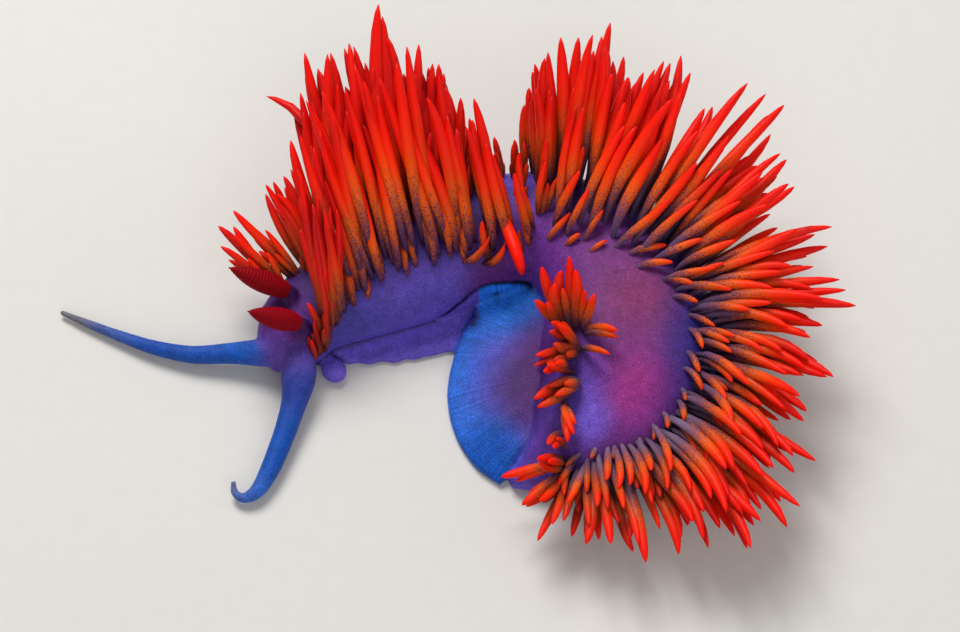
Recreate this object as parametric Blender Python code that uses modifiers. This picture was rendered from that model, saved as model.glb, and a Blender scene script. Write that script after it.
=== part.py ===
"""Spanish shawl nudibranch, life size, curled to its left on a flat floor.

Sizes are in millimetres until a mesh is made. The frame has +Z up, with the floor at z = 0 and the origin on
the sole under the front of the trunk. The head is at -X, and the body bends round towards -Y.
"""

import math
import random

import bmesh
import bpy
import numpy as np
from mathutils import Matrix, Vector
from mathutils.bvhtree import BVHTree

MM = 0.001
GAP = 0.3  # between pieces that touch
SAME_PLACE = 0.01  # vertices closer than this are one
UP = Vector((0, 0, 1))
NEARBY = 0.05  # stations to a neighbouring place on the body, for slopes and strides

# The body from the snout to the tip of the tail: x, y, half width and height of the back at each station
BODY = np.array([
    (-15.0, -9.8, 1.6, 3.4),
    (-13.3, -7.9, 3.2, 4.9),
    (-11.0, -5.4, 3.8, 5.8),
    (-6.4, -2.9, 4.8, 6.9),
    (-1.4, -0.9, 5.2, 7.5),
    (3.8, 1.3, 5.2, 7.8),
    (8.9, 2.2, 5.2, 8.0),
    (13.2, -0.2, 6.0, 8.2),
    (15.9, -4.9, 7.2, 8.4),
    (16.2, -10.3, 7.7, 8.3),
    (14.5, -14.8, 6.9, 7.4),
    (11.4, -18.1, 4.9, 5.6),
    (8.6, -20.0, 2.3, 3.4),
    (6.2, -21.0, 0.5, 1.5),
])
SNOUT, NECK, TAIL_ROOT, TAIL_TIP = 0.0, 1.5, 11.75, 13.0
TRUNK_CUTS = (NECK, 3.7, 5.6, 7.6, 9.7, TAIL_ROOT)
TRUNK_NAMES = ("trunk_front", "trunk_middle", "trunk_bend", "trunk_rear", "trunk_end")

# The section of the body
FLAT_SIDES, ROUND_BACK = 0.8, 0.9  # powers of a rounded box
WIDEST = 0.42  # of the height, from the base
UNDERCUT = 1.3  # how much faster the flank closes below its widest line than above it
OUTWARD_LEAN = 0.14  # sideways for each millimetre up, away from the inside of the curl
SECTION_SIDES, RINGS_A_STATION = 18, 5
SNOUT_ROUND, SNOUT_BLUNT = 0.6, 0.34  # stations over which the snout rounds off, and the size it starts with
SNOUT_HEIGHT = 0.45  # of the head, to the middle of the snout
TAIL_POINT = 0.12  # stations of the tail drawn out to its point

# The foot, with the reach of its margin past the flank's widest line, by station
FOOT_THICK, MARGIN_THICK = 1.2, 0.7
MARGIN_ROUND = 0.35
SHELF_WIDE, SHELF_INSET = 0.75, 0.6  # where its thick part ends: of the half width, and at least this far in
TRUNK_BASE = FOOT_THICK + GAP
FOOT_CUTS = (1.15, 4.9, 7.9, TAIL_ROOT)
FOOT_NAMES = ("foot_front", "foot_middle", "foot_rear")
INNER_REACH = ((1.0, -0.4), (2.0, 1.0), (3.0, 2.0), (4.0, 2.4), (4.6, 2.6), (5.2, 1.6), (5.9, 0.0), (7.0, -1.4),
               (9.0, -2.6), (11.0, -1.4), (13.0, 0.0))
OUTER_REACH = ((1.0, -0.4), (2.0, 0.8), (4.0, 1.5), (7.0, 1.5), (9.0, 1.2), (11.0, 0.8), (13.0, 0.0))
CORNER_LEFT, CORNER_RIGHT = (-9.4, -10.0), (-15.2, -4.4)
CORNER_STATION = 1.65  # the station they point away from
CORNER_SIZE = (2.5, 2.2, 1.7)  # out, across and up
CORNER_SUNK = 0.12  # how much of its roundness rests flat on the floor
CORNER_SIDES, CORNER_RINGS = 14, 9

# The broad flap of the foot inside the curl: x, y and height of its free edge, which starts on top of the foot of
# the trunk, and of the line where it runs in under the flank
FLAP_EDGE = np.array([
    (4.4, -2.2, 2.2), (3.0, -4.6, 2.1), (1.35, -8.1, 0.95), (0.65, -12.4, 0.8), (1.35, -16.3, 0.8),
    (3.1, -19.4, 0.8), (5.3, -21.2, 0.8),
])
FLAP_ROOT = np.array([
    (8.6, -2.4, 2.2), (9.4, -4.6, 2.5), (9.9, -7.6, 2.8), (10.0, -10.8, 2.9), (9.7, -14.0, 2.9),
    (8.9, -16.9, 2.6), (7.4, -18.8, 1.9),
])
FLAP_SHARES = (0.03, 0.12, 0.35, 0.65, 1.0)  # from the edge in to the root
RIBS_A_POINT = 2

# Oral tentacles: x, y, z and radius of the centre line from inside the head to the tip
TENTACLE_RIGHT = np.array([
    (-13.6, -8.9, 2.5, 1.6), (-15.6, -9.0, 2.2, 1.3), (-18.4, -8.8, 1.7, 0.98), (-22.0, -8.7, 1.25, 0.8),
    (-25.6, -7.8, 1.0, 0.66), (-29.0, -6.4, 0.8, 0.5), (-31.8, -5.1, 0.65, 0.36), (-34.2, -3.9, 0.5, 0.2),
])
TENTACLE_LEFT = np.array([
    (-12.6, -9.3, 2.6, 1.65), (-12.4, -11.6, 2.3, 1.55), (-12.8, -14.0, 1.8, 1.15), (-13.6, -16.9, 1.4, 0.98),
    (-14.6, -19.8, 1.15, 0.88), (-15.7, -22.0, 0.95, 0.68), (-16.9, -22.7, 0.8, 0.46), (-17.7, -22.2, 0.9, 0.3),
    (-17.8, -21.3, 1.3, 0.2),
])
TENTACLE_LENGTHS = ("base", "middle", "tip")
TENTACLE_CUTS = (0.0, 0.40, 0.72, 1.0)
TENTACLE_RINGS, TENTACLE_SIDES = 7, 8

# Rhinophores: where the stalk leaves the head, where the club starts, and the club's tip
RHINOPHORE_RIGHT = ((-13.0, -5.7, 4.2), (-13.4, -5.0, 6.1), (-18.4, -4.4, 9.2))
RHINOPHORE_LEFT = ((-11.9, -8.1, 4.1), (-12.3, -8.1, 5.8), (-16.6, -8.6, 8.8))
STALK_RADIUS, CLUB_RADIUS, CLUB_TIP = 0.62, 1.05, 0.16
STALK_BEND = 0.3  # below the club, where the stalk turns into the club's own direction
CLUB_LEAVES, LEAF_DEPTH, CLUB_SIDES = 8, 0.2, 10
CLUB_START, CLUB_BELLY, CLUB_FULL = 0.22, 0.8, 0.8  # of the half wave that gives the club its outline

# Lips on either side of the upright slit of the mouth
LIP_SIZE = (1.7, 1.24, 1.6)
LIP_SPREAD, LIP_HIGH, LIP_STATION = 0.55, 1.5, 0.3
LIP_SIDES, LIP_RINGS = 10, 7

# Headings of the cerata: station, compass angle in the floor (0 is +X, 90 is +Y), rise above it, length, and how
# far they stray from it in degrees
INNER_HEADINGS = ((1.6, 92, 50, 8.5, 7), (2.3, 97, 50, 12.5, 7), (3.0, 118, 50, 16, 7), (4.0, 115, 50, 15, 7),
                  (5.0, 95, 52, 14, 8), (5.5, 90, 55, 12.5, 9), (5.9, 104, 60, 11, 10), (7.3, 95, 64, 7.5, 16),
                  (8.0, 110, 66, 8.5, 20), (9.0, 165, 58, 7.5, 24), (10.0, 212, 36, 7.5, 16),
                  (11.0, 236, 20, 8, 10), (11.7, 246, 12, 6.5, 8))
OUTER_HEADINGS = ((1.6, 152, 24, 6.5, 8), (2.2, 142, 28, 8.5, 8), (2.6, 107, 36, 12, 7), (3.2, 99, 40, 15, 6),
                  (4.0, 100, 40, 17, 6), (4.6, 102, 40, 14, 6), (5.0, 103, 38, 10.5, 6), (5.5, 98, 38, 8.5, 7),
                  (5.8, 94, 36, 11.5, 6), (6.3, 79, 34, 14.5, 6), (7.0, 60, 27, 14.5, 7), (7.5, 48, 24, 13, 7),
                  (8.0, 25, 20, 12.5, 7), (8.5, 3, 18, 13, 7), (9.0, -20, 16, 11.5, 7), (9.5, -38, 15, 13, 7),
                  (10.0, -52, 15, 14, 7), (10.5, -66, 13, 12, 7), (11.0, -80, 12, 9.5, 7), (11.7, -104, 10, 7, 7))
# Angles up the section of the lowest and the highest row of each side, by station
INNER_BAND = ((1.6, 8, 34), (2.3, 34, 60), (3.0, 52, 78), (5.5, 54, 80), (6.0, 46, 72), (7.3, 20, 56),
              (8.0, 12, 50), (9.5, 8, 44), (11.6, 20, 56))
OUTER_BAND = ((1.6, 20, 56), (2.5, 36, 74), (3.5, 40, 78), (5.5, 42, 84), (6.0, 42, 96), (7.0, 34, 90),
              (7.7, 28, 78), (8.5, 24, 68), (9.2, 20, 54), (10.0, 20, 60), (10.6, 20, 72), (11.6, 18, 74))
# Rows: share of the way up the band, share of the length, change of rise, and spacing along the row
INNER_ROWS = ((0.0, 0.45, -8, 3.3), (0.34, 0.85, -3, 2.2), (0.67, 1.0, 0, 2.1), (1.0, 0.88, 6, 2.3))
OUTER_ROWS = ((0.0, 0.66, -7, 2.6), (0.26, 0.95, -2, 2.1), (0.5, 1.0, 3, 2.0), (0.76, 0.84, 8, 2.3),
              (1.0, 0.42, 14, 2.8))
BARE_BACK = (5.95, 7.35)  # stations of the inner side with no cerata
ROW_OFFSET = 0.11  # stations each row starts behind the last
STATION_JITTER, ANGLE_JITTER, RISE_JITTER = 0.07, 3.0, 0.6  # stations, degrees, share of the stray
CERATA_FROM, CERATA_TO = 1.6, 11.6
SHORTEST, LONGEST = 0.84, 1.12  # of the length at the station
CERAS_RADIUS, THINNEST, THICKEST = 0.54, 0.9, 1.1
YOUNG_SHARE, YOUNG_WIDTH = 0.6, 0.88  # rows with less than this share of the length are thinner
CERAS_SIDES = 5
CERAS_RINGS = ((0.0, 0.78), (0.36, 1.0), (0.74, 0.78), (1.0, 0.14))  # place along it, share of the radius
CERAS_BENDS = (0.18, 0.6)  # shares of the length out of the skin and along the heading where it turns
ROOT_SUNK = 1.1
ABOVE_FLOOR = 0.35
CLEAR_OF_CUT = 0.65
CLEAR_OF_FLESH, CLEAR_OF_CERATA = 0.3, 0.42  # of other nodes
TRIES, WIDER_EACH_TRY, HIGHER_EACH_TRY = 14, 2.2, 0.9
SAMPLES = np.linspace(0.1, 1.0, 14)  # places along a ceras where its distances are checked

VIOLET, BLUE = (0.10, 0.05, 0.42), (0.02, 0.12, 0.62)
ORANGE, MAROON = (0.95, 0.10, 0.01), (0.22, 0.0, 0.01)
ROUGHNESS = 0.35


def smooth(stations, u):
    """The value of a smooth curve through rows of numbers, at row number u."""
    last = len(stations) - 1
    i = max(0, min(int(u), last - 1))
    f = u - i
    a, b, c, d = (stations[max(0, min(last, i + k))] for k in (-1, 0, 1, 2))
    return b + 0.5 * f * (c - a + f * (2 * a - 5 * b + 4 * c - d + f * (3 * (b - c) + d - a)))


def between(rows, u):
    """The values of rows of (place, value, ...) at place u, on straight lines from row to row."""
    places, *columns = zip(*rows)
    return [float(np.interp(u, places, column)) for column in columns]


def body_frame(u):
    """Centre on the floor, direction towards the tail, direction into the curl, half width and height."""
    here = smooth(BODY, u)
    step = smooth(BODY, min(u + NEARBY, TAIL_TIP)) - smooth(BODY, max(u - NEARBY, SNOUT))
    run = Vector((step[0], step[1], 0)).normalized()
    return Vector((here[0], here[1], 0)), run, Vector((run.y, -run.x, 0)), here[2], here[3]


def signed_power(x, p):
    return math.copysign(abs(x) ** p, x)


def skin_point(u, angle, base=TRUNK_BASE):
    """A point of the skin: angle 0 is the inner flank, 90 degrees the ridge and 180 the outer flank."""
    centre, _, inner, half_width, back = body_frame(u)
    middle = base + WIDEST * (back - base)
    rise = signed_power(math.sin(angle), ROUND_BACK)
    reach_up = (back - middle) if rise > 0 else UNDERCUT * (middle - base)
    height = max(base, middle + rise * reach_up)
    across = half_width * signed_power(math.cos(angle), FLAT_SIDES) - OUTWARD_LEAN * (height - base)
    return centre + inner * across + UP * height


def skin_normal(u, angle):
    along = skin_point(u + NEARBY, angle) - skin_point(u - NEARBY, angle)
    upward = skin_point(u, angle + NEARBY) - skin_point(u, angle - NEARBY)
    return along.cross(upward).normalized()


def stride(u, angle):
    """Millimetres along the skin for each station, at this place."""
    return (skin_point(u + NEARBY, angle) - skin_point(u, angle)).length / NEARBY


def section(u, base=TRUNK_BASE):
    return [skin_point(u, math.tau * k / SECTION_SIDES, base) for k in range(SECTION_SIDES)]


def steps(start, end, rings_a_station):
    count = max(2, round((end - start) * rings_a_station))
    return [start + (end - start) * k / count for k in range(count + 1)]


def off_the_cut(u, start, end):
    """How a ring moves so that a length's flat ends lie half a gap back from its cuts."""
    return body_frame(u)[1] * (GAP / 2 if u == start else (-GAP / 2 if u == end else 0.0))


def new_object(name, bm, material, collection):
    bmesh.ops.recalc_face_normals(bm, faces=bm.faces)
    bmesh.ops.scale(bm, vec=(MM, MM, MM), verts=bm.verts)
    mesh = bpy.data.meshes.new(name)
    bm.to_mesh(mesh)
    bm.free()
    mesh.shade_smooth()
    mesh.materials.append(material)
    obj = bpy.data.objects.new(name, mesh)
    collection.objects.link(obj)
    return obj


def loft(name, rings, material, collection, tip=None):
    """A solid through rings of unlike section, with a flat cap at each end or a point at the far one."""
    bm = bmesh.new()
    rows = [[bm.verts.new(p) for p in ring] for ring in rings]
    count = len(rows[0])
    for low, high in zip(rows, rows[1:]):
        for k in range(count):
            n = (k + 1) % count
            bm.faces.new((low[k], low[n], high[n], high[k]))
    bm.faces.new(rows[0][::-1])
    if tip is None:
        bm.faces.new(rows[-1])
    else:
        point = bm.verts.new(tip)
        for k in range(count):
            bm.faces.new((rows[-1][k], rows[-1][(k + 1) % count], point))
    return new_object(name, bm, material, collection)


def round_profile(sides, collection):
    """A small closed outline of a tube with this many sides."""
    curve = bpy.data.curves.new("round", "CURVE")
    spline = curve.splines.new("POLY")
    spline.points.add(sides - 1)
    for k, point in enumerate(spline.points):
        angle = math.tau * k / sides
        point.co = (MM * math.cos(angle), MM * math.sin(angle), 0, 1)
    spline.use_cyclic_u = True
    obj = bpy.data.objects.new("round", curve)
    obj.hide_render = True
    obj.display_type = "WIRE"
    collection.objects.link(obj)
    return obj


def tube(name, points, radii, profile, material, collection):
    """A tapered tube with filled caps along a line of points, as a mesh."""
    curve = bpy.data.curves.new(name, "CURVE")
    curve.dimensions = "3D"
    curve.bevel_mode = "OBJECT"
    curve.bevel_object = profile
    curve.use_fill_caps = True
    spline = curve.splines.new("POLY")
    spline.points.add(len(points) - 1)
    for knot, place, radius in zip(spline.points, points, radii):
        knot.co = (*(place * MM), 1)
        knot.radius = radius
    guide = bpy.data.objects.new(name, curve)
    collection.objects.link(guide)
    bpy.context.view_layer.update()
    mesh = bpy.data.meshes.new_from_object(guide.evaluated_get(bpy.context.evaluated_depsgraph_get()))
    bpy.data.objects.remove(guide)
    bm = bmesh.new()
    bm.from_mesh(mesh)
    bpy.data.meshes.remove(mesh)
    bmesh.ops.scale(bm, vec=(1 / MM, 1 / MM, 1 / MM), verts=bm.verts)
    bmesh.ops.remove_doubles(bm, verts=bm.verts, dist=SAME_PLACE)
    return new_object(name, bm, material, collection)


def flattened_ball(name, size, sides, rings, matrix, material, collection):
    """An ellipsoid that is cut off level with the floor."""
    bm = bmesh.new()
    bmesh.ops.create_uvsphere(bm, u_segments=sides, v_segments=rings, radius=0.5)
    bmesh.ops.scale(bm, vec=size, verts=bm.verts)
    bmesh.ops.transform(bm, matrix=matrix, verts=bm.verts)
    for vert in bm.verts:
        vert.co.z = max(0.0, vert.co.z)
    bmesh.ops.remove_doubles(bm, verts=bm.verts, dist=SAME_PLACE)
    return new_object(name, bm, material, collection)


def keep_largest(obj):
    """Drops every closed surface of the mesh but the one with the most area."""
    bm = bmesh.new()
    bm.from_mesh(obj.data)
    left, surfaces = set(bm.faces), []
    while left:
        stack = [left.pop()]
        surface = set(stack)
        while stack:
            near = {face for edge in stack.pop().edges for face in edge.link_faces} & left
            left -= near
            surface |= near
            stack += near
        surfaces.append(surface)
    surfaces.sort(key=lambda surface: sum(face.calc_area() for face in surface))
    loose = [face for surface in surfaces[:-1] for face in surface]
    bmesh.ops.delete(bm, geom=loose, context="FACES")
    bm.to_mesh(obj.data)
    bm.free()


def boolean(obj, others, operation, solver):
    """Joins the others to obj, or cuts them from it, applies that, and removes them."""
    group = bpy.data.collections.new("operands")
    bpy.context.scene.collection.children.link(group)
    for other in others:
        for holder in list(other.users_collection):
            holder.objects.unlink(other)
        group.objects.link(other)
    modifier = obj.modifiers.new("operands", "BOOLEAN")
    modifier.operation = operation
    modifier.operand_type = "COLLECTION"
    modifier.collection = group
    modifier.solver = solver
    bpy.context.view_layer.update()
    mesh = bpy.data.meshes.new_from_object(obj.evaluated_get(bpy.context.evaluated_depsgraph_get()))
    obj.modifiers.clear()
    obj.data = mesh
    for other in others:
        bpy.data.objects.remove(other)
    bpy.data.collections.remove(group)
    keep_largest(obj)


def cut_clear(obj, neighbours, collection):
    """Cuts obj back to a gap from each neighbour, so that it meets them face to face."""
    for neighbour in neighbours:
        bm = bmesh.new()
        bm.from_mesh(neighbour.data)
        bm.normal_update()
        moved = [vert.co + vert.normal * GAP * MM * vert.calc_shell_factor() for vert in bm.verts]
        for vert, place in zip(bm.verts, moved):
            vert.co = place / MM
        cutter = new_object("cutter", bm, neighbour.data.materials[0], collection)
        boolean(obj, [cutter], "DIFFERENCE", "MANIFOLD")


def make_trunk(material, collection):
    """The trunk in lengths, from the neck to the root of the tail."""
    lengths = {}
    for name, start, end in zip(TRUNK_NAMES, TRUNK_CUTS, TRUNK_CUTS[1:]):
        rings = []
        for u in steps(start, end, RINGS_A_STATION):
            rings.append([point + off_the_cut(u, start, end) for point in section(u)])
        lengths[name] = loft(name, rings, material, collection)
    return lengths


def make_tail(material, collection):
    """The bare tail with its own strip of sole, drawn out to a point that lies on the floor."""
    rings = []
    for u in steps(TAIL_ROOT, TAIL_TIP - TAIL_POINT, RINGS_A_STATION):
        rings.append([point + off_the_cut(u, TAIL_ROOT, TAIL_TIP) for point in section(u, base=0.0)])
    return loft("tail", rings, material, collection, tip=skin_point(TAIL_TIP, 0, base=0.0))


def make_head(material, collection):
    """The head from the neck forward, rounded off at the snout, with the two lips fused on."""
    rings = []
    for u in steps(SNOUT, NECK, RINGS_A_STATION):
        centre, _, _, _, back = body_frame(u)
        heart = centre + UP * (TRUNK_BASE + SNOUT_HEIGHT * (back - TRUNK_BASE))
        share = min(1.0, u / SNOUT_ROUND)
        shrink = SNOUT_BLUNT + (1 - SNOUT_BLUNT) * math.sqrt(1 - (1 - share) ** 2)
        rings.append([heart + (p - heart) * shrink + off_the_cut(u, None, NECK) for p in section(u)])
    head = loft("head", rings, material, collection)
    centre, run, inner, _, _ = body_frame(LIP_STATION)
    turn = Matrix((run, inner, UP)).transposed().to_4x4()
    lips = []
    for side in (-1, 1):
        place = Matrix.Translation(centre + inner * side * LIP_SPREAD + UP * LIP_HIGH)
        lips.append(flattened_ball("lip", LIP_SIZE, LIP_SIDES, LIP_RINGS, place @ turn, material, collection))
    boolean(head, lips, "UNION", "MANIFOLD")
    return head


def make_foot(material, collection):
    """The sole in lengths: flat below, thick under the body and thin at its rounded margin."""
    lengths = []
    for name, start, end in zip(FOOT_NAMES, FOOT_CUTS, FOOT_CUTS[1:]):
        rings = []
        for u in steps(start, end, RINGS_A_STATION):
            centre, _, inner, half_width, _ = body_frame(u)
            left = half_width + between(INNER_REACH, u)[0]
            right = half_width + between(OUTER_REACH, u)[0]
            shelf_left, shelf_right = (min(SHELF_WIDE * half_width, reach - SHELF_INSET) for reach in (left, right))
            outline = (
                (MARGIN_ROUND - right, 0.0), (left - MARGIN_ROUND, 0.0),
                (left, MARGIN_THICK / 2), (left - MARGIN_ROUND, MARGIN_THICK),
                (shelf_left, FOOT_THICK), (-shelf_right, FOOT_THICK),
                (MARGIN_ROUND - right, MARGIN_THICK), (-right, MARGIN_THICK / 2),
            )
            corner = centre + off_the_cut(u, start, end)
            rings.append([corner + inner * across + UP * height for across, height in outline])
        lengths.append(loft(name, rings, material, collection))
    return lengths


def make_flap(material, collection):
    """The flap in ribs from its free edge to its root, flat below and softly domed above."""
    last = len(FLAP_EDGE) - 1
    rings = []
    for u in steps(0.0, last, RIBS_A_POINT):
        edge, root = Vector(smooth(FLAP_EDGE, u)), Vector(smooth(FLAP_ROOT, u))
        ring = [Vector((edge.x, edge.y, edge.z / 2))]
        for share in FLAP_SHARES:
            place = edge.lerp(root, share)
            place.z = edge.z + (root.z - edge.z) * math.sin(share * math.pi / 2)
            ring.append(place)
        ring.append(Vector((root.x, root.y, 0)))
        ring.append(Vector((ring[1].x, ring[1].y, 0)))
        rings.append(ring)
    return loft("foot_flap", rings, material, collection)


def make_corner(side, place, material, collection):
    """A rounded front corner of the foot."""
    out = (Vector((*place, 0)) - body_frame(CORNER_STATION)[0]).normalized()
    turn = Matrix((out, UP.cross(out), UP)).transposed().to_4x4()
    spot = Matrix.Translation(Vector((*place, CORNER_SIZE[2] / 2 - CORNER_SUNK)))
    name = f"foot_corner_{side}"
    return flattened_ball(name, CORNER_SIZE, CORNER_SIDES, CORNER_RINGS, spot @ turn, material, collection)


def make_tentacle(side, line, profile, material, collection):
    """An oral tentacle in lengths, each parted from the next by the gap."""
    last = len(line) - 1
    lengths = []
    for name, start, end in zip(TENTACLE_LENGTHS, TENTACLE_CUTS, TENTACLE_CUTS[1:]):
        rows = [smooth(line, last * u) for u in np.linspace(start, end, TENTACLE_RINGS + 1)]
        points = [Vector(row[:3]) for row in rows]
        if start > 0:
            points[0] += (points[1] - points[0]).normalized() * GAP / 2
        if end < 1:
            points[-1] += (points[-2] - points[-1]).normalized() * GAP / 2
        radii = [row[3] for row in rows]
        lengths.append(tube(f"oral_tentacle_{side}_{name}", points, radii, profile, material, collection))
    return lengths


def make_stalk(side, line, profile, material, collection):
    """The smooth stalk of a rhinophore, up to a gap below its club."""
    root, start, tip = (Vector(p) for p in line)
    axis = (tip - start).normalized()
    top = start - axis * GAP
    points = [root, top - axis * STALK_BEND, top]
    return tube(f"rhinophore_{side}_stalk", points, [STALK_RADIUS] * 3, profile, material, collection)


def make_club(side, line, material, collection):
    """The club of a rhinophore, turned from a profile whose teeth are its leaves, from the tip down."""
    _, start, tip = (Vector(p) for p in line)
    length = (tip - start).length
    bm = bmesh.new()
    profile = [bm.verts.new((0, 0, length * MM))]
    for k in range(2 * CLUB_LEAVES, -1, -1):
        share = k / (2 * CLUB_LEAVES)
        wave = math.sin(math.pi * (CLUB_START + (1 - CLUB_START) * share ** CLUB_BELLY))
        radius = max(CLUB_TIP, CLUB_RADIUS * max(0.0, wave) ** CLUB_FULL - (0 if k % 2 else LEAF_DEPTH))
        profile.append(bm.verts.new((radius * MM, 0, share * (length - CLUB_TIP) * MM)))
    profile.append(bm.verts.new((0, 0, 0)))
    for pair in zip(profile, profile[1:]):
        bm.edges.new(pair)
    mesh = bpy.data.meshes.new(f"rhinophore_{side}_club")
    bm.to_mesh(mesh)
    bm.free()
    mesh.materials.append(material)
    club = bpy.data.objects.new(f"rhinophore_{side}_club", mesh)
    collection.objects.link(club)
    screw = club.modifiers.new("turned", "SCREW")
    screw.steps = screw.render_steps = CLUB_SIDES
    screw.use_merge_vertices = True
    screw.merge_threshold = SAME_PLACE * MM
    club.location = start * MM
    club.rotation_mode = "QUATERNION"
    club.rotation_quaternion = (tip - start).to_track_quat("Z", "Y")
    return club


def direction(compass, rise):
    a, e = math.radians(compass), math.radians(rise)
    return Vector((math.cos(e) * math.cos(a), math.cos(e) * math.sin(a), math.sin(e)))


def bezier(knots, t):
    a, b, c, d = knots
    return a * (1 - t) ** 3 + b * (3 * t * (1 - t) ** 2) + c * (3 * t * t * (1 - t)) + d * t ** 3


def ceras_seats(side, rows, band):
    """Where the cerata of one side stand: a name for the random draw, station, angle and row of each."""
    for number, row in enumerate(rows):
        way_up, _, _, spacing = row
        u, k = CERATA_FROM + ROW_OFFSET * number, 0
        while u < CERATA_TO:
            lowest, highest = between(band, u)
            angle = lowest + (highest - lowest) * way_up
            angle = angle if side == "inner" else 180 - angle
            if not (side == "inner" and BARE_BACK[0] < u < BARE_BACK[1]):
                yield f"{side} {number} {k}", u, angle, row
            u += spacing / stride(u, math.radians(angle))
            k += 1


def clears(line, widths, owner, flesh, laid):
    """Whether a ceras keeps its distance from the floor, other nodes and the cerata that stand on them."""
    if min(place.z - width for place, width in zip(line, widths)) < ABOVE_FLOOR:
        return False
    for name, tree in flesh.items():
        if name == owner:
            continue
        for place, width in zip(line, widths):
            if tree.find_nearest(place, width + CLEAR_OF_FLESH)[0] is not None:
                return False
    others = [row for node, _, _, rows in laid if node != owner for row in rows]
    if others:
        others = np.array(others)
        for place, width in zip(line, widths):
            apart = np.linalg.norm(others[:, :3] - np.array(place), axis=1)
            if (apart < others[:, 3] + width + CLEAR_OF_CERATA).any():
                return False
    return True


def lay_cerata(flesh):
    """Every ceras as its node, knots, radius and samples, turned clear of other nodes or left out."""
    laid = []
    sides = (("inner", INNER_ROWS, INNER_BAND, INNER_HEADINGS), ("outer", OUTER_ROWS, OUTER_BAND, OUTER_HEADINGS))
    for side, rows, band, headings in sides:
        for draw, u, angle, (_, share, lift, _) in ceras_seats(side, rows, band):
            chance = random.Random(draw)
            length_number = sum(u > cut for cut in TRUNK_CUTS[1:-1])
            owner, start, end = TRUNK_NAMES[length_number], *TRUNK_CUTS[length_number:length_number + 2]
            angle = math.radians(angle + chance.uniform(-ANGLE_JITTER, ANGLE_JITTER))
            edge = CLEAR_OF_CUT / stride(u, angle)
            u = min(max(u + chance.uniform(-STATION_JITTER, STATION_JITTER), start + edge), end - edge)
            root, normal = skin_point(u, angle), skin_normal(u, angle)
            compass, rise, length, stray = between(headings, u)
            length *= share * chance.uniform(SHORTEST, LONGEST)
            radius = CERAS_RADIUS * chance.uniform(THINNEST, THICKEST)
            if share < YOUNG_SHARE:
                radius *= YOUNG_WIDTH
            widths = [radius * between(CERAS_RINGS, t)[0] for t in SAMPLES]
            for attempt in range(TRIES):
                spread = stray + WIDER_EACH_TRY * attempt
                heading = direction(
                    compass + chance.uniform(-spread, spread),
                    rise + lift + chance.uniform(-RISE_JITTER, RISE_JITTER) * spread + HIGHER_EACH_TRY * attempt,
                )
                knots = (root - normal * ROOT_SUNK, root + normal * length * CERAS_BENDS[0],
                         root + heading * length * CERAS_BENDS[1], root + heading * length)
                line = [bezier(knots, t) for t in SAMPLES]
                if clears(line, widths, owner, flesh, laid):
                    samples = [(*place, width) for place, width in zip(line, widths)]
                    laid.append((owner, knots, radius, samples))
                    break
    return laid


def surface_tree(obj):
    """A search tree of an object's surface as it stands, in millimetres."""
    bpy.context.view_layer.update()
    evaluated = obj.evaluated_get(bpy.context.evaluated_depsgraph_get())
    bm = bmesh.new()
    bm.from_mesh(evaluated.to_mesh())
    bm.transform(Matrix.Scale(1 / MM, 4) @ obj.matrix_world)
    tree = BVHTree.FromBMesh(bm)
    bm.free()
    return tree


def grow_cerata(trunk, flesh, profile, material, collection):
    """Fuses onto each length of the trunk the cerata that stand on it."""
    laid = lay_cerata({obj.name: surface_tree(obj) for obj in flesh})
    for name, length in trunk.items():
        cerata = []
        for owner, knots, radius, _ in laid:
            if owner == name:
                points = [bezier(knots, t) for t, _ in CERAS_RINGS]
                radii = [radius * share for _, share in CERAS_RINGS]
                cerata.append(tube("ceras", points, radii, profile, material, collection))
        length.data.materials.append(material)
        boolean(length, cerata, "UNION", "EXACT")


def skin_material(name, colour):
    material = bpy.data.materials.new(name)
    material.use_nodes = True
    shader = material.node_tree.nodes["Principled BSDF"]
    shader.inputs["Base Color"].default_value = (*colour, 1)
    shader.inputs["Roughness"].default_value = ROUGHNESS
    shader.inputs["Metallic"].default_value = 0.0
    material.diffuse_color = (*colour, 1)
    return material


def main():
    for obj in list(bpy.data.objects):
        bpy.data.objects.remove(obj)
    parts = bpy.data.collections.new("spanish_shawl")
    guides = bpy.data.collections.new("guides")
    for collection in (parts, guides):
        bpy.context.scene.collection.children.link(collection)
    violet, blue = skin_material("violet_flesh", VIOLET), skin_material("blue_flesh", BLUE)
    orange, maroon = skin_material("cerata_flesh", ORANGE), skin_material("rhinophore_flesh", MAROON)
    eight_sided = round_profile(TENTACLE_SIDES, guides)

    head = make_head(violet, parts)
    trunk = make_trunk(violet, parts)
    tail = make_tail(blue, parts)
    foot = make_foot(blue, parts)
    flap = make_flap(blue, parts)
    cut_clear(flap, foot + [tail, *trunk.values()], guides)
    for side, place in (("left", CORNER_LEFT), ("right", CORNER_RIGHT)):
        corner = make_corner(side, place, blue, parts)
        cut_clear(corner, [foot[0], head, trunk["trunk_front"]], guides)
    tentacles = {}
    for side, line in (("right", TENTACLE_RIGHT), ("left", TENTACLE_LEFT)):
        tentacles[side] = make_tentacle(side, line, eight_sided, blue, parts)
        cut_clear(tentacles[side][0], [head], guides)
    cut_clear(tentacles["left"][0], [tentacles["right"][0]], guides)
    for side, line in (("right", RHINOPHORE_RIGHT), ("left", RHINOPHORE_LEFT)):
        stalk = make_stalk(side, line, eight_sided, violet, parts)
        cut_clear(stalk, [head, trunk["trunk_front"]], guides)
        make_club(side, line, maroon, parts)
    five_sided = round_profile(CERAS_SIDES, guides)
    grow_cerata(trunk, list(parts.objects), five_sided, orange, parts)


main()
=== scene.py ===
"""Looks of the life-size spanish shawl nudibranch: skin, rhinophores and cerata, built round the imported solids.

Sizes are in millimetres until a mesh is made. The frame is that of the solids, with the floor at z = 0.
"""

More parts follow.
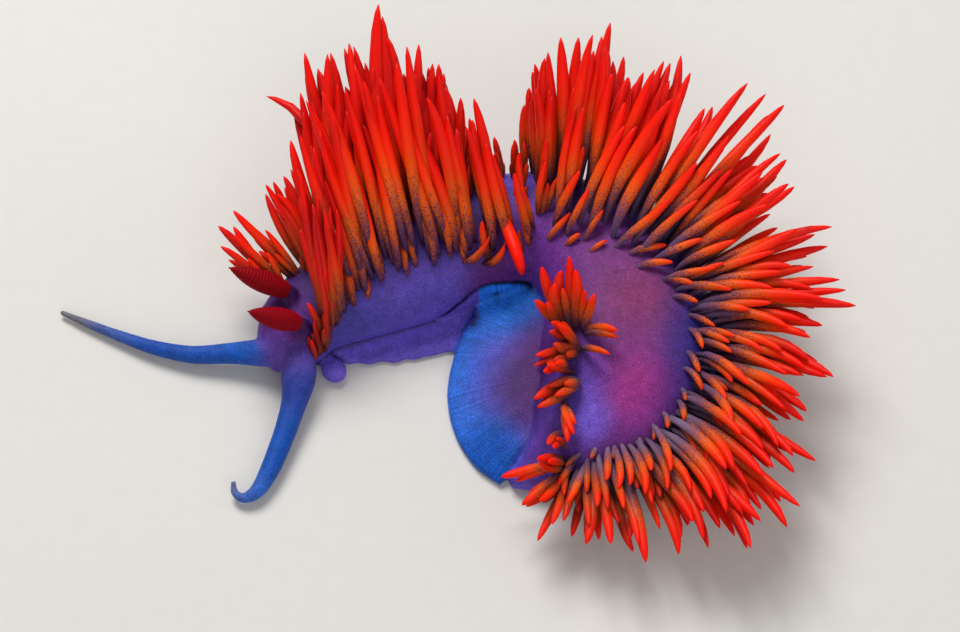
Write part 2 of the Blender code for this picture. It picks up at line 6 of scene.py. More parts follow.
import math
import random

import bpy
import numpy as np
from mathutils import Matrix, Vector
from mathutils.bvhtree import BVHTree


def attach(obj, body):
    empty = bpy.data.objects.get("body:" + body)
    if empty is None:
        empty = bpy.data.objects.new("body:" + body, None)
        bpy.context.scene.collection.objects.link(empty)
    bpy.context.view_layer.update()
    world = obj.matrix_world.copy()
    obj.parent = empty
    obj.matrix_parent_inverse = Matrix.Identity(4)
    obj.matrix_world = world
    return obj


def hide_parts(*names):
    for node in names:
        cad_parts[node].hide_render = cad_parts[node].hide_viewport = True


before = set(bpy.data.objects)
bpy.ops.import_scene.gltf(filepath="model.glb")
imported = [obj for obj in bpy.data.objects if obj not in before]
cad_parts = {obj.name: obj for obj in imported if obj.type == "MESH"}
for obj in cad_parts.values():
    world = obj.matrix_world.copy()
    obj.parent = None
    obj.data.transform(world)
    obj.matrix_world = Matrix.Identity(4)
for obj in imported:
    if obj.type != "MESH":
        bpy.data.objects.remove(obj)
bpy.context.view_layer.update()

# Floor: a pale matt table top, much larger than the model, so that no edge of it shows.
# It is painted board, rolled even, which gives a soft shadow and a little light from below.
MM = 0.001  # metres
FLOOR_SIZE, FLOOR_DROP = 4000, 0.02
BOARD_PAINT, BOARD_ROUGHNESS = "#d6d3cd", 0.75
BOARD_GRAIN, BOARD_SHADES = 1.6, (0.975, 1.025)
MIXED_COLOUR = 2  # which output of a Mix node is its colour


def linear(colour):
    """The linear red, green, blue and alpha of an sRGB hex value."""
    levels = [int(colour[k:k + 2], 16) / 255 for k in (1, 3, 5)]
    return [*(c / 12.92 if c <= 0.04045 else ((c + 0.055) / 1.055) ** 2.4 for c in levels), 1.0]


def add_node(tree, kind, sockets, **settings):
    """Adds a node with its settings. A socket, by its identifier, takes a value or a link."""
    node = tree.nodes.new(kind)
    for name, value in settings.items():
        setattr(node, name, value)
    found = {socket.identifier: socket for socket in node.inputs}
    for key, value in sockets.items():
        if isinstance(value, bpy.types.NodeSocket):
            tree.links.new(value, found[key])
        else:
            found[key].default_value = value
    return node


def new_material(name, paint, values):
    """A material with the colour that paint works out in its node tree, and its shader's own values."""
    material = bpy.data.materials.new(name)
    material.use_nodes = True
    tree = material.node_tree
    shader = tree.nodes["Principled BSDF"]
    tree.links.new(paint(tree, shader), shader.inputs["Base Color"])
    for socket, value in values.items():
        shader.inputs[socket].default_value = value
    return material


def object_place(tree):
    """The place of a point in its object, in metres."""
    return add_node(tree, "ShaderNodeTexCoord", {}).outputs["Object"]


def attribute(tree, name, output="Fac"):
    """What a mesh says of each of its points under a name."""
    return add_node(tree, "ShaderNodeAttribute", {}, attribute_name=name).outputs[output]


def noise(tree, size, detail=2.0):
    """Cloudy noise with lumps of a size in millimetres."""
    sockets = {"Vector": object_place(tree), "Scale": 1 / (size * MM), "Detail": detail}
    return add_node(tree, "ShaderNodeTexNoise", sockets).outputs[0]


def spread_out(tree, value, whole, wanted=(0.0, 1.0)):
    """A value that runs over a range, drawn out to run over the wanted one and kept within it."""
    return add_node(tree, "ShaderNodeMapRange", {
        "Value": value, "From Min": whole[0], "From Max": whole[1], "To Min": wanted[0], "To Max": wanted[1],
    }).outputs[0]


def mixed(tree, share, first, second, blend="MIX"):
    """A colour that goes from the first to the second, or to the product of both, with the share."""
    sockets = {"Factor_Float": share, "A_Color": first, "B_Color": second}
    return add_node(tree, "ShaderNodeMix", sockets, data_type="RGBA", blend_type=blend).outputs[MIXED_COLOUR]


def worked(tree, operation, first, second):
    """What comes of two values by an operation such as ADD."""
    sockets = {"Value": first, "Value_001": second}
    return add_node(tree, "ShaderNodeMath", sockets, operation=operation).outputs[0]


def shaded(tree, colour, value, whole, shades, share=1.0):
    """A colour made darker or lighter as a value runs over a range, on a share of the surface."""
    return mixed(tree, share, colour, spread_out(tree, value, whole, shades), "MULTIPLY")


def painted_board(tree, _):
    """Matt paint: a pale warm grey with a barely seen grain, so that the eye stays with the animal."""
    return shaded(tree, linear(BOARD_PAINT), noise(tree, BOARD_GRAIN), (0.0, 1.0), BOARD_SHADES)


bpy.ops.object.select_all(action="DESELECT")
bpy.ops.mesh.primitive_plane_add(size=FLOOR_SIZE * MM, location=(0, 0, -FLOOR_DROP * MM))
floor = bpy.context.object
floor.name = "floor"
floor.data.materials.append(new_material("painted_board", painted_board, {"Roughness": BOARD_ROUGHNESS}))

# Camera: looks steeply down on the animal, along +Y, with a long lens that hardly narrows what is far off.
CAMERA_AIM = Vector((3.6, -4.0, 0.0))
CAMERA_DISTANCE, CAMERA_ELEVATION, CAMERA_LENS = 260, 60, 108
camera_rise = math.radians(CAMERA_ELEVATION)
camera_place = CAMERA_AIM + CAMERA_DISTANCE * Vector((0, -math.cos(camera_rise), math.sin(camera_rise)))
bpy.ops.object.camera_add(location=camera_place * MM, rotation=(math.pi / 2 - camera_rise, 0, 0))
camera = bpy.context.object
camera.data.lens = CAMERA_LENS
camera.data.clip_start = MM
bpy.context.scene.camera = camera

# Studio: a large soft lamp behind, as the photo's light falls, two weaker ones, and pale air all round.
# Each lamp has a compass angle, a rise, a distance, a size and its watts.
LAMPS = {"key": (112, 56, 420, 200, 1.6), "fill": (-75, 38, 480, 420, 0.8), "side": (10, 25, 480, 300, 0.25)}
AIR_COLOUR, AIR_STRENGTH = "#eef1f5", 0.27


def direction(compass, rise):
    """The direction at a compass angle in the floor and a rise above it, both in degrees."""
    a, e = math.radians(compass), math.radians(rise)
    return Vector((math.cos(e) * math.cos(a), math.cos(e) * math.sin(a), math.sin(e)))


for name, (compass, rise, distance, size, watts) in LAMPS.items():
    away = direction(compass, rise)
    bpy.ops.object.light_add(type="AREA", location=(CAMERA_AIM + away * distance) * MM)
    lamp = bpy.context.object
    lamp.name = f"lamp_{name}"
    lamp.rotation_euler = away.to_track_quat("Z", "Y").to_euler()
    lamp.data.size = size * MM
    lamp.data.energy = watts
world = bpy.data.worlds.new("pale air")
world.use_nodes = True
air = world.node_tree.nodes["Background"]
air.inputs["Color"].default_value = linear(AIR_COLOUR)
air.inputs["Strength"].default_value = AIR_STRENGTH
bpy.context.scene.world = world
bpy.context.scene.view_settings.view_transform = "Standard"

# Skin: the whole wet, soft body in one closed surface, from the tentacles to the tail, with foot and flap.
# Each form is lofted by itself, sunk into the next and fused, smoothed where they meet, and then painted.
UP = Vector((0, 0, 1))
# The body from the snout to the tip of the tail: x, y, half width and height of the back at each station
BODY = np.array([
    (-15.0, -9.8, 1.6, 3.4), (-13.3, -7.9, 3.2, 4.9), (-11.0, -5.4, 3.8, 5.8), (-6.4, -2.9, 4.8, 6.9),
    (-1.4, -0.9, 5.2, 7.5), (3.8, 1.3, 5.2, 7.8), (8.9, 2.2, 5.2, 8.0), (13.2, -0.2, 6.0, 8.2),
    (15.9, -4.9, 7.2, 8.4), (16.2, -10.3, 7.7, 8.3), (14.5, -14.8, 6.9, 7.4), (11.4, -18.1, 4.9, 5.6),
    (8.6, -20.0, 2.3, 3.4), (6.2, -21.0, 0.5, 1.5),
])
SNOUT, TAIL_ROOT, TAIL_TIP = 0.0, 11.75, 13.0
# Its section: how flat the sides are and how round the back, how high it is widest, and how it goes in below
FLAT_SIDES, ROUND_BACK, WIDEST, UNDERCUT, OUTWARD_LEAN = 0.8, 0.9, 0.42, 1.3, 0.14
# The trunk goes into the foot, and its base comes down to the floor at the tail
TRUNK_BASE, TRUNK_SUNK, TAIL_SETTLES = 1.5, 0.7, 1.2
# The snout closes in over so many stations, to a share of its size, round a point so far up its height
SNOUT_ROUND, SNOUT_BLUNT, SNOUT_HEIGHT = 0.6, 0.34, 0.45
TRUNK_RINGS, TRUNK_SIDES = 12, 56
NEARBY = 0.05  # a short step, in stations or in radians
WELD = 0.001  # points of a form closer than this become one


def smooth(rows, place):
    """The value of a smooth curve through rows of numbers, at row number place."""
    last = len(rows) - 1
    i = max(0, min(int(place), last - 1))
    f = place - i
    a, b, c, d = (rows[max(0, min(last, i + k))] for k in (-1, 0, 1, 2))
    return b + 0.5 * f * (c - a + f * (2 * a - 5 * b + 4 * c - d + f * (3 * (b - c) + d - a)))


def between(rows, place):
    """The values of rows of (place, value, ...) at a place, on straight lines from row to row."""
    places, *columns = zip(*rows)
    return [float(np.interp(place, places, column)) for column in columns]


def body_frame(u):
    """Centre on the floor, direction towards the tail, direction into the curl, half width and height."""
    here = smooth(BODY, u)
    step = smooth(BODY, min(u + NEARBY, TAIL_TIP)) - smooth(BODY, max(u - NEARBY, SNOUT))
    run = Vector((step[0], step[1], 0)).normalized()
    return Vector((here[0], here[1], 0)), run, Vector((run.y, -run.x, 0)), here[2], here[3]


def signed_power(x, p):
    """The power of a number's size, with its sign kept."""
    return math.copysign(abs(x) ** p, x)


def skin_point(u, angle, base=TRUNK_BASE):
    """A point of the skin: angle 0 is the inner flank, 90 degrees the ridge and 180 the outer flank."""
    centre, _, inner, half_width, back = body_frame(u)
    middle = base + WIDEST * (back - base)
    rise = signed_power(math.sin(angle), ROUND_BACK)
    reach_up = (back - middle) if rise > 0 else UNDERCUT * (middle - base)
    height = max(base, middle + rise * reach_up)
    across = half_width * signed_power(math.cos(angle), FLAT_SIDES) - OUTWARD_LEAN * (height - base)
    return centre + inner * across + UP * height


def skin_normal(u, angle):
    """The direction straight out of the skin at a point of it."""
    along = skin_point(u + NEARBY, angle) - skin_point(u - NEARBY, angle)
    upward = skin_point(u, angle + NEARBY) - skin_point(u, angle - NEARBY)
    return along.cross(upward).normalized()


def wrap_grid(name, rings):
    """A closed form: each row of a grid primitive is wrapped round as a ring, and both ends are filled."""
    bpy.ops.object.select_all(action="DESELECT")
    bpy.ops.mesh.primitive_grid_add(x_subdivisions=len(rings[0]), y_subdivisions=len(rings) - 1)
    obj = bpy.context.object
    obj.name = name
    places = np.array([[*ring, ring[0]] for ring in rings]) * MM
    obj.data.vertices.foreach_set("co", places.ravel())
    bpy.ops.object.mode_set(mode="EDIT")
    bpy.ops.mesh.select_all(action="SELECT")
    bpy.ops.mesh.remove_doubles(threshold=WELD * MM)
    bpy.ops.mesh.fill_holes(sides=0)
    bpy.ops.mesh.normals_make_consistent(inside=False)
    bpy.ops.object.mode_set(mode="OBJECT")
    return obj


def rings_round(centres, radii, sides, flatten=1.0):
    """Rings of places round a line of centres, without twist from one to the next."""
    rings = []
    side = UP.cross(centres[1] - centres[0]).normalized()
    for k, (centre, radius) in enumerate(zip(centres, radii)):
        run = (centres[min(k + 1, len(centres) - 1)] - centres[max(k - 1, 0)]).normalized()
        side = (side - run * side.dot(run)).normalized()
        other = run.cross(side) * flatten
        turns = (math.tau * n / sides for n in range(sides))
        rings.append([centre + (side * math.cos(t) + other * math.sin(t)) * radius for t in turns])
    return rings


def mark_points(mesh, name, values):
    """Gives each point of a mesh a value, for its material to read."""
    mesh.attributes.new(name, "FLOAT", "POINT").data.foreach_set("value", values)


def apply_modifier(obj, kind, **settings):
    """Adds a modifier to an object and applies it."""
    bpy.context.view_layer.objects.active = obj
    modifier = obj.modifiers.new(kind.lower(), kind)
    for name, value in settings.items():
        setattr(modifier, name, value)
    bpy.ops.object.modifier_apply(modifier=modifier.name)


flesh = []
rings = []
for u in np.linspace(SNOUT, TAIL_TIP, int(TAIL_TIP * TRUNK_RINGS)):
    sinking = min(1.0, max(0.0, (u - TAIL_ROOT + TAIL_SETTLES) / TAIL_SETTLES))
    base = (TRUNK_BASE - TRUNK_SUNK) * (1 - sinking)
    ring = [skin_point(u, math.tau * k / TRUNK_SIDES, base) for k in range(TRUNK_SIDES)]
    share = min(1.0, u / SNOUT_ROUND)
    shrink = SNOUT_BLUNT + (1 - SNOUT_BLUNT) * math.sqrt(1 - (1 - share) ** 2)
    centre, _, _, _, back = body_frame(u)
    heart = centre + UP * (TRUNK_BASE + SNOUT_HEIGHT * (back - TRUNK_BASE))
    rings.append([heart + (place - heart) * shrink for place in ring])
flesh.append(wrap_grid("trunk_form", rings))

# The foot's reach past the flank on each side, by station, and its thickness in the middle and at its margin
FOOT_FROM, FOOT_RINGS, FOOT_THICK, MARGIN_THICK, MARGIN_ROUND = 1.15, 110, 1.2, 0.6, 0.3
SHELF_WIDE, SHELF_INSET = 0.75, 0.6  # how wide its thick middle is, and the least it keeps from the margin
INNER_REACH = (
    (1.0, -0.4), (2.0, 1.0), (3.0, 2.0), (4.0, 2.4), (4.6, 2.6), (5.2, 1.6), (5.9, 0.0), (7.0, -1.4),
    (9.0, -2.6), (11.0, -1.4), (13.0, 0.0),
)
OUTER_REACH = ((1.0, -0.4), (2.0, 0.8), (4.0, 1.5), (7.0, 1.5), (9.0, 1.2), (11.0, 0.8), (13.0, 0.0))
# Waves a station, how far each goes out, and how fast they wax and wane in radians a station
MARGIN_WAVES, MARGIN_WAVE, WAVES_WAX = 2.3, 0.16, 1.7
rings = []
for u in np.linspace(FOOT_FROM, TAIL_ROOT + TAIL_SETTLES / 2, FOOT_RINGS):
    centre, _, inner, half_width, _ = body_frame(u)
    wave = MARGIN_WAVE * math.sin(MARGIN_WAVES * math.tau * u) * math.sin(WAVES_WAX * u)
    left = half_width + between(INNER_REACH, u)[0] - MARGIN_WAVE + wave
    right = half_width + between(OUTER_REACH, u)[0] - MARGIN_WAVE - wave
    shelf_left, shelf_right = (min(SHELF_WIDE * half_width, reach - SHELF_INSET) for reach in (left, right))
    outline = (
        (MARGIN_ROUND - right, 0.0), (left - MARGIN_ROUND, 0.0), (left, MARGIN_THICK / 2),
        (left - MARGIN_ROUND, MARGIN_THICK), (shelf_left, FOOT_THICK), (-shelf_right, FOOT_THICK),
        (MARGIN_ROUND - right, MARGIN_THICK), (-right, MARGIN_THICK / 2),
    )
    rings.append([centre + inner * across + UP * height for across, height in outline])
flesh.append(wrap_grid("foot_form", rings))

# The broad flap inside the curl: x, y and height of its free edge and of where it runs in under the flank
FLAP_EDGE = np.array([
    (4.2, -2.2, 2.3), (3.0, -4.6, 1.9), (1.35, -8.1, 0.95), (0.65, -12.4, 0.8), (1.35, -16.3, 0.8),
    (3.1, -19.4, 0.8), (5.3, -21.2, 0.8),
])
FLAP_ROOT = np.array([
    (8.6, -2.4, 2.9), (9.4, -4.6, 2.8), (9.9, -7.6, 2.8), (10.0, -10.8, 2.9), (9.7, -14.0, 2.9),
    (8.9, -16.9, 2.6), (7.4, -18.8, 1.9),
])
FLAP_SHARES = (0.02, 0.07, 0.15, 0.27, 0.4, 0.55, 0.7, 0.85, 1.0)  # of the way in from the edge
# Ribs of the mesh, the height of its soft ripples, and their radians a step along the edge and inward
FLAP_RIBS, FLAP_WAVE, RIPPLES_ALONG, RIPPLES_IN = 72, 0.14, 4.3, 5
rings = []
for u in np.linspace(0, len(FLAP_EDGE) - 1, FLAP_RIBS):
    edge, root = Vector(smooth(FLAP_EDGE, u)), Vector(smooth(FLAP_ROOT, u))
    ring = [Vector((edge.x, edge.y, edge.z / 2))]
    for share in FLAP_SHARES:
        place = edge.lerp(root, share)
        ripple = FLAP_WAVE * math.sin(RIPPLES_ALONG * u + RIPPLES_IN * share) * math.sin(share * math.pi)
        place.z = edge.z + (root.z - edge.z) * math.sin(share * math.pi / 2) + ripple
        ring.append(place)
    ring.append(Vector((root.x, root.y, 0)))
    ring.append(Vector((edge.x, edge.y, 0)).lerp(ring[-1], FLAP_SHARES[0]))
    rings.append(ring)
flesh.append(wrap_grid("flap_form", rings))

# Oral tentacles: x, y, z and radius of the centre line from inside the head to the tip
TENTACLES = {
    "right": np.array([
        (-13.6, -8.9, 2.5, 1.6), (-15.6, -9.0, 2.2, 1.3), (-18.4, -8.8, 1.7, 0.98),
        (-22.0, -8.7, 1.25, 0.8), (-25.6, -7.8, 1.0, 0.66), (-29.0, -6.4, 0.8, 0.5),
        (-31.8, -5.1, 0.65, 0.38), (-34.2, -3.9, 0.5, 0.24),
    ]),
    "left": np.array([
        (-12.6, -9.3, 2.6, 1.65), (-12.4, -11.6, 2.3, 1.55), (-12.8, -14.0, 1.8, 1.15),
        (-13.6, -16.9, 1.4, 0.98), (-14.6, -19.8, 1.15, 0.88), (-15.7, -22.0, 0.95, 0.68),
        (-16.9, -22.7, 0.8, 0.46), (-17.7, -22.2, 0.9, 0.34), (-17.8, -21.3, 1.3, 0.24),
    ]),
}
TENTACLE_RINGS, TENTACLE_SIDES = 60, 20
for side, line in TENTACLES.items():
    rows = [smooth(line, place) for place in np.linspace(0, len(line) - 1, TENTACLE_RINGS)]
    rings = rings_round([Vector(row[:3]) for row in rows], [row[3] for row in rows], TENTACLE_SIDES)
    flesh.append(wrap_grid(f"tentacle_{side}_form", rings))

# Rhinophore stalks: where each leaves the head, where its club starts, and the club's tip
RHINOPHORES = {
    "right": [Vector(p) for p in ((-13.0, -5.7, 4.2), (-13.4, -5.0, 6.1), (-18.4, -4.4, 9.2))],
    "left": [Vector(p) for p in ((-11.9, -8.1, 4.1), (-12.3, -8.1, 5.8), (-16.6, -8.6, 8.8))],
}
STALK_FOOT, STALK_TAPER, STALK_RADIUS, STALK_TOP, STALK_RINGS = 1.15, 0.8, 0.62, 0.5, 10
# How far it goes down into the head, and where it ends below and above the start of the club
STALK_SUNK, STALK_SHORT, STALK_INTO_CLUB = 0.6, 0.3, 0.25
for side, (root, start, tip) in RHINOPHORES.items():
    axis = (tip - start).normalized()
    knots = [root - UP * STALK_SUNK, root, start - axis * STALK_SHORT, start + axis * STALK_INTO_CLUB]
    widths = (STALK_FOOT, STALK_FOOT * STALK_TAPER, STALK_RADIUS, STALK_TOP)
    shares = np.linspace(0, len(knots) - 1, STALK_RINGS)
    rows = [smooth(np.array(knots), place) for place in shares]
    radii = np.interp(shares, range(len(knots)), widths)
    rings = rings_round([Vector(row) for row in rows], radii, TENTACLE_SIDES)
    flesh.append(wrap_grid(f"stalk_{side}_form", rings))

# Lips beside the slit of the mouth, and the rounded front corners of the foot, which point away from the body
LIP_SIZE, LIP_SPREAD, LIP_HIGH, LIP_STATION = (1.7, 1.24, 1.6), 0.55, 1.5, 0.3
CORNERS, CORNER_STATION = ((-9.4, -10.0), (-15.2, -4.4)), 1.65
CORNER_SIZE, CORNER_SUNK = (2.5, 2.2, 1.7), 0.12
CORNER_ROOT_BACK, CORNER_ROOT_SIZE = 1.4, (3.2, 1.5, 1.3)  # a smaller lump joins each to the foot
centre, run, inner, _, _ = body_frame(LIP_STATION)
balls = [(centre + inner * side * LIP_SPREAD + UP * LIP_HIGH, run, LIP_SIZE) for side in (-1, 1)]
for x, y in CORNERS:
    spot = Vector((x, y, CORNER_SIZE[2] / 2 - CORNER_SUNK))
    out = spot - body_frame(CORNER_STATION)[0]
    out.z = 0
    balls.append((spot, out.normalized(), CORNER_SIZE))
    balls.append((spot - out.normalized() * CORNER_ROOT_BACK, out.normalized(), CORNER_ROOT_SIZE))
for spot, out, size in balls:
    bpy.ops.object.select_all(action="DESELECT")
    bpy.ops.mesh.primitive_uv_sphere_add(segments=24, ring_count=14, radius=0.5)
    turn = Matrix((out, UP.cross(out), UP)).transposed().to_4x4()
    ball = bpy.context.object
    ball.name = "trunk_lip" if size == LIP_SIZE else "corner_form"
    ball.data.transform(Matrix.Scale(MM, 4) @ Matrix.Translation(spot) @ turn @ Matrix.Diagonal((*size, 1)))
    flesh.append(ball)

# All forms become one surface of small cells, smoothed, with soft folds, and thinned to so many triangles.
# The forms' own surfaces are kept as trees, to tell later which form each point of the skin belongs to.
VOXEL, FLESH_SMOOTHING, FOLD_SIZE, FOLD_DEPTH, SKIN_TRIANGLES = 0.17, 4, 1.1, 0.05, 190_000
form_trees = {}
for form in flesh:
    kind = form.name.split("_")[0]
    corners = [vertex.co.copy() for vertex in form.data.vertices]
    tree = BVHTree.FromPolygons(corners, [face.vertices for face in form.data.polygons])
    form_trees.setdefault(kind, []).append(tree)
bpy.ops.object.select_all(action="DESELECT")
for form in flesh:
    form.select_set(True)
bpy.context.view_layer.objects.active = flesh[0]
bpy.ops.object.join()
skin = bpy.context.object
skin.name = "skin"
apply_modifier(skin, "REMESH", mode="VOXEL", voxel_size=VOXEL * MM)
apply_modifier(skin, "SMOOTH", factor=0.5, iterations=FLESH_SMOOTHING)
folds = bpy.data.textures.new("folds", "CLOUDS")
folds.noise_scale = FOLD_SIZE * MM
depth = FOLD_DEPTH * MM
apply_modifier(skin, "DISPLACE", texture=folds, texture_coords="LOCAL", strength=depth, mid_level=0.5)
triangles = sum(len(face.vertices) - 2 for face in skin.data.polygons)
apply_modifier(skin, "DECIMATE", ratio=min(1.0, SKIN_TRIANGLES / triangles))
places = np.empty(3 * len(skin.data.vertices))
skin.data.vertices.foreach_get("co", places)
places = places.reshape(-1, 3) / MM
places[:, 2] = places[:, 2].clip(0)
skin.data.vertices.foreach_set("co", (places * MM).ravel())
skin.data.shade_smooth()

# The animal's colours, and where each lies: washes that run into one another over each form's own ground
COLOURS = {
    "violet": "#5848ac", "plum": "#5a2074", "deep_plum": "#3c1750", "orchid": "#6e2468", "rose": "#7e2848",
    "magenta": "#98206c", "purple": "#702c92", "heather": "#6e3892", "grape": "#5c1c62", "indigo": "#343086",
    "azure": "#1556b4", "cobalt": "#1c4aa0", "deep_azure": "#0e4ca6", "slate": "#465a98", "ash": "#726e6c",
    "sky": "#2c66c8", "bright_azure": "#2a80ec", "lilac": "#6a54c0", "dusk": "#2a2670",
}
GROUNDS = {"trunk": "violet", "foot": "violet", "corner": "lilac", "flap": "azure", "tentacle": "cobalt",
           "stalk": "deep_plum"}
# On the trunk: station, degrees up the section, radius of the wash, strength and colour
TRUNK_WASHES = (
    (0.2, 90, 1.8, 2, "heather"), (0.7, 90, 2.0, 4, "heather"), (1.1, 60, 1.8, 5, "grape"),
    (1.3, 110, 2.4, 8, "plum"), (1.5, 30, 1.6, 2, "indigo"), (1.6, 140, 2.0, 4, "deep_plum"),
    (2.0, 110, 2.6, 3, "deep_plum"), (2.8, 100, 2.6, 3, "deep_plum"), (2.4, 20, 2.6, 1, "indigo"),
    (3.5, 95, 3.0, 3, "deep_plum"), (4.5, 95, 3.0, 3, "deep_plum"), (5.0, 10, 2.0, 5, "grape"),
    (5.3, 60, 2.6, 3, "plum"), (6.2, 60, 3.0, 4, "purple"), (6.3, 110, 3.0, 3, "deep_plum"),
    (7.0, 75, 3.0, 4, "orchid"), (7.6, 85, 3.2, 5, "orchid"), (8.4, 92, 3.4, 8, "rose"),
    (9.0, 86, 3.2, 5, "orchid"), (9.8, 104, 3.2, 7, "magenta"), (10.2, 60, 2.6, 4, "purple"),
    # The dusk washes on the outer flank, from station 8 to 9.7, are painted shade under the fan of cerata. The
    # lilac wash at 10.7 is the skin's own violet patch, made lighter with painted light where the cerata above
    # shade it.
    (10.7, 90, 1.5, 12, "lilac"), (8.0, 140, 2.8, 8, "dusk"), (8.7, 134, 2.8, 18, "dusk"),
    (9.2, 136, 2.6, 18, "dusk"), (9.7, 146, 2.6, 14, "dusk"), (10.6, 140, 2.8, 6, "grape"),
    (11.6, 100, 2.6, 3, "plum"), (10.3, 70, 1.9, 9, "violet"),
    (9.2, 10, 2.4, 4, "grape"), (10.0, 10, 2.4, 4, "deep_plum"), (10.8, 14, 2.4, 4, "deep_plum"),
    (7.6, 24, 2.4, 3, "plum"),
)
# On the foot: station, share of the way out to the inner margin, radius, strength and colour
FOOT_WASHES = (
    (2.8, 1.2, 2.6, 2, "lilac"), (4.0, 1.2, 2.4, 5, "lilac"), (4.7, 0.8, 1.8, 2, "heather"),
    (8.0, -1.0, 4.0, 2, "indigo"),
)
# On the flap: place along its edge, share of the way in, radius, strength and colour
FLAP_WASHES = (
    # The bright azure washes at the flap's front end are painted light: lighter than its own blue, where the
    # flank shades it
    (0.2, 0.5, 2.4, 14, "bright_azure"), (0.9, 0.5, 2.2, 6, "bright_azure"), (1.4, 0.0, 2.2, 4, "sky"),
    (2.6, 0.0, 2.0, 4, "sky"), (3.6, 0.0, 2.2, 3, "sky"), (5.0, 0.4, 2.4, 5, "deep_azure"),
    # The grape, deep plum and plum washes near the flap's root are its own purple, darkened further with painted
    # shade where it runs in under the flank and the cerata
    (2.2, 0.55, 2.6, 2.0, "violet"), (3.2, 0.5, 2.6, 2.4, "violet"), (2.6, 0.95, 2.6, 12, "grape"),
    (3.4, 0.78, 2.1, 20, "deep_plum"), (3.6, 0.92, 2.6, 12, "grape"), (1.6, 0.95, 1.8, 4, "plum"),
    (4.6, 0.95, 2.2, 5, "plum"),
)
# On the tentacles: share of the way from head to tip, radius, strength and colour
TENTACLE_WASHES = {
    "right": ((0.06, 1.6, 2.0, "heather"), (0.24, 2.0, 2.5, "azure"), (0.5, 3.4, 3.0, "cobalt"),
              (0.76, 2.4, 3.0, "slate"), (0.98, 2.4, 12.0, "ash")),
    "left": ((0.06, 1.6, 3.0, "heather"), (0.2, 1.6, 2.0, "indigo"), (0.45, 2.0, 2.5, "deep_azure"),
             (0.68, 1.8, 3.0, "sky"), (0.85, 1.6, 3.0, "slate"), (1.0, 1.2, 6.0, "ash")),
}
washes = {kind: [] for kind in GROUNDS}
for u, angle, radius, strength, colour in TRUNK_WASHES:
    washes["trunk"].append((skin_point(u, math.radians(angle)), radius, strength, colour))
for u, share, radius, strength, colour in FOOT_WASHES:
    centre, _, inner, half_width, _ = body_frame(u)
    washes["foot"].append((centre + inner * half_width * share, radius, strength, colour))
for u, share, radius, strength, colour in FLAP_WASHES:
    place = Vector(smooth(FLAP_EDGE, u)).lerp(Vector(smooth(FLAP_ROOT, u)), share)
    washes["flap"].append((place, radius, strength, colour))
for side, line in TENTACLES.items():
    for share, radius, strength, colour in TENTACLE_WASHES[side]:
        place = Vector(smooth(line, share * (len(line) - 1))[:3])
        washes["tentacle"].append((place, radius, strength, colour))
FORM_BLEND = 0.35  # how softly one form's colours give way to the next
apart = {}
for kind, trees in form_trees.items():
    far = [min(tree.find_nearest(Vector(place) * MM)[3] for tree in trees) / MM for place in places]
    apart[kind] = np.array(far)
# At its front end the flap, and the foot before it, reach up the flank and gape from it with a narrow slit,
# painted as a dark line of shadow.
# Each row of the slit is a station, degrees up the flank and half width. What lies just under it is painted
# as foot or, further back, as flap.
SLIT_LINE = (
    (3.9, -34, 0.3), (4.05, -20, 0.3), (4.2, -8, 0.28), (4.4, 2, 0.27), (4.6, 7, 0.27), (4.9, 5, 0.27),
    (5.2, -1, 0.29), (5.5, -9, 0.34), (5.8, -18, 0.5), (6.1, -26, 0.6), (6.4, -28, 0.5),
)
SLIT_SPOTS, SLIT_SHADOW, SLIT_REACH, FLAP_START = 120, 0.95, 1.6, 3.5
slit_rows = []
for u in np.linspace(SLIT_LINE[0][0], SLIT_LINE[-1][0], SLIT_SPOTS):
    degrees, width = between(SLIT_LINE, u)
    slit_rows.append((*skin_point(u, math.radians(degrees)), width))
slit_rows = np.array(slit_rows)
slit = np.full(len(places), np.inf)
for *spot, width in slit_rows:
    slit = np.minimum(slit, np.linalg.norm(places - spot, axis=1) / width)
rising = slit_rows[:, 0].argsort()
slit_x, slit_y, slit_z = slit_rows[rising, :3].T
under = (places[:, 0] > slit_x[0]) & (places[:, 0] < slit_x[-1])
under &= np.abs(places[:, 1] - np.interp(places[:, 0], slit_x, slit_y)) < SLIT_REACH
under &= places[:, 2] < np.interp(places[:, 0], slit_x, slit_z)
apart["trunk"][under] += SLIT_REACH
apart["foot"][under & (places[:, 0] < FLAP_START)] = 0
apart["flap"][under & (places[:, 0] >= FLAP_START)] = 0
nearest = np.min(list(apart.values()), axis=0)
tone, cover, belongs = np.zeros((len(places), 4)), np.zeros(len(places)), {}
for kind, ground in GROUNDS.items():
    painted = np.tile(linear(COLOURS[ground]), (len(places), 1))
    laid = np.ones(len(places))
    for place, radius, strength, colour in washes[kind]:
        weight = strength * np.exp(-((places - np.array(place)) ** 2).sum(axis=1) / radius ** 2)
        painted += weight[:, None] * np.array(linear(COLOURS[colour]))
        laid += weight
    belongs[kind] = np.exp(-((apart[kind] - nearest) / FORM_BLEND) ** 2)
    tone += painted / laid[:, None] * belongs[kind][:, None]
    cover += belongs[kind]
tone /= cover[:, None]
# The flank bulges over the foot: painted shade darkens the crease between them, and a painted highlight gives the
# skin beside it a paler rim
CREASE_WIDE, CREASE_SHADE, RIM_WIDE, RIM_HIGHLIGHT = 0.4, 1.15, 0.95, 0.45
meeting = np.sort([apart[kind] for kind in ("trunk", "foot", "corner")], axis=0)[1]
painted_light_and_shade = 1 + RIM_HIGHLIGHT * np.exp(-(meeting / RIM_WIDE) ** 2)
painted_light_and_shade -= CREASE_SHADE * np.exp(-(meeting / CREASE_WIDE) ** 2)
# The slit is painted shadow along the line where the flap gapes from the flank
painted_light_and_shade *= 1 - SLIT_SHADOW * np.exp(-slit ** 4)
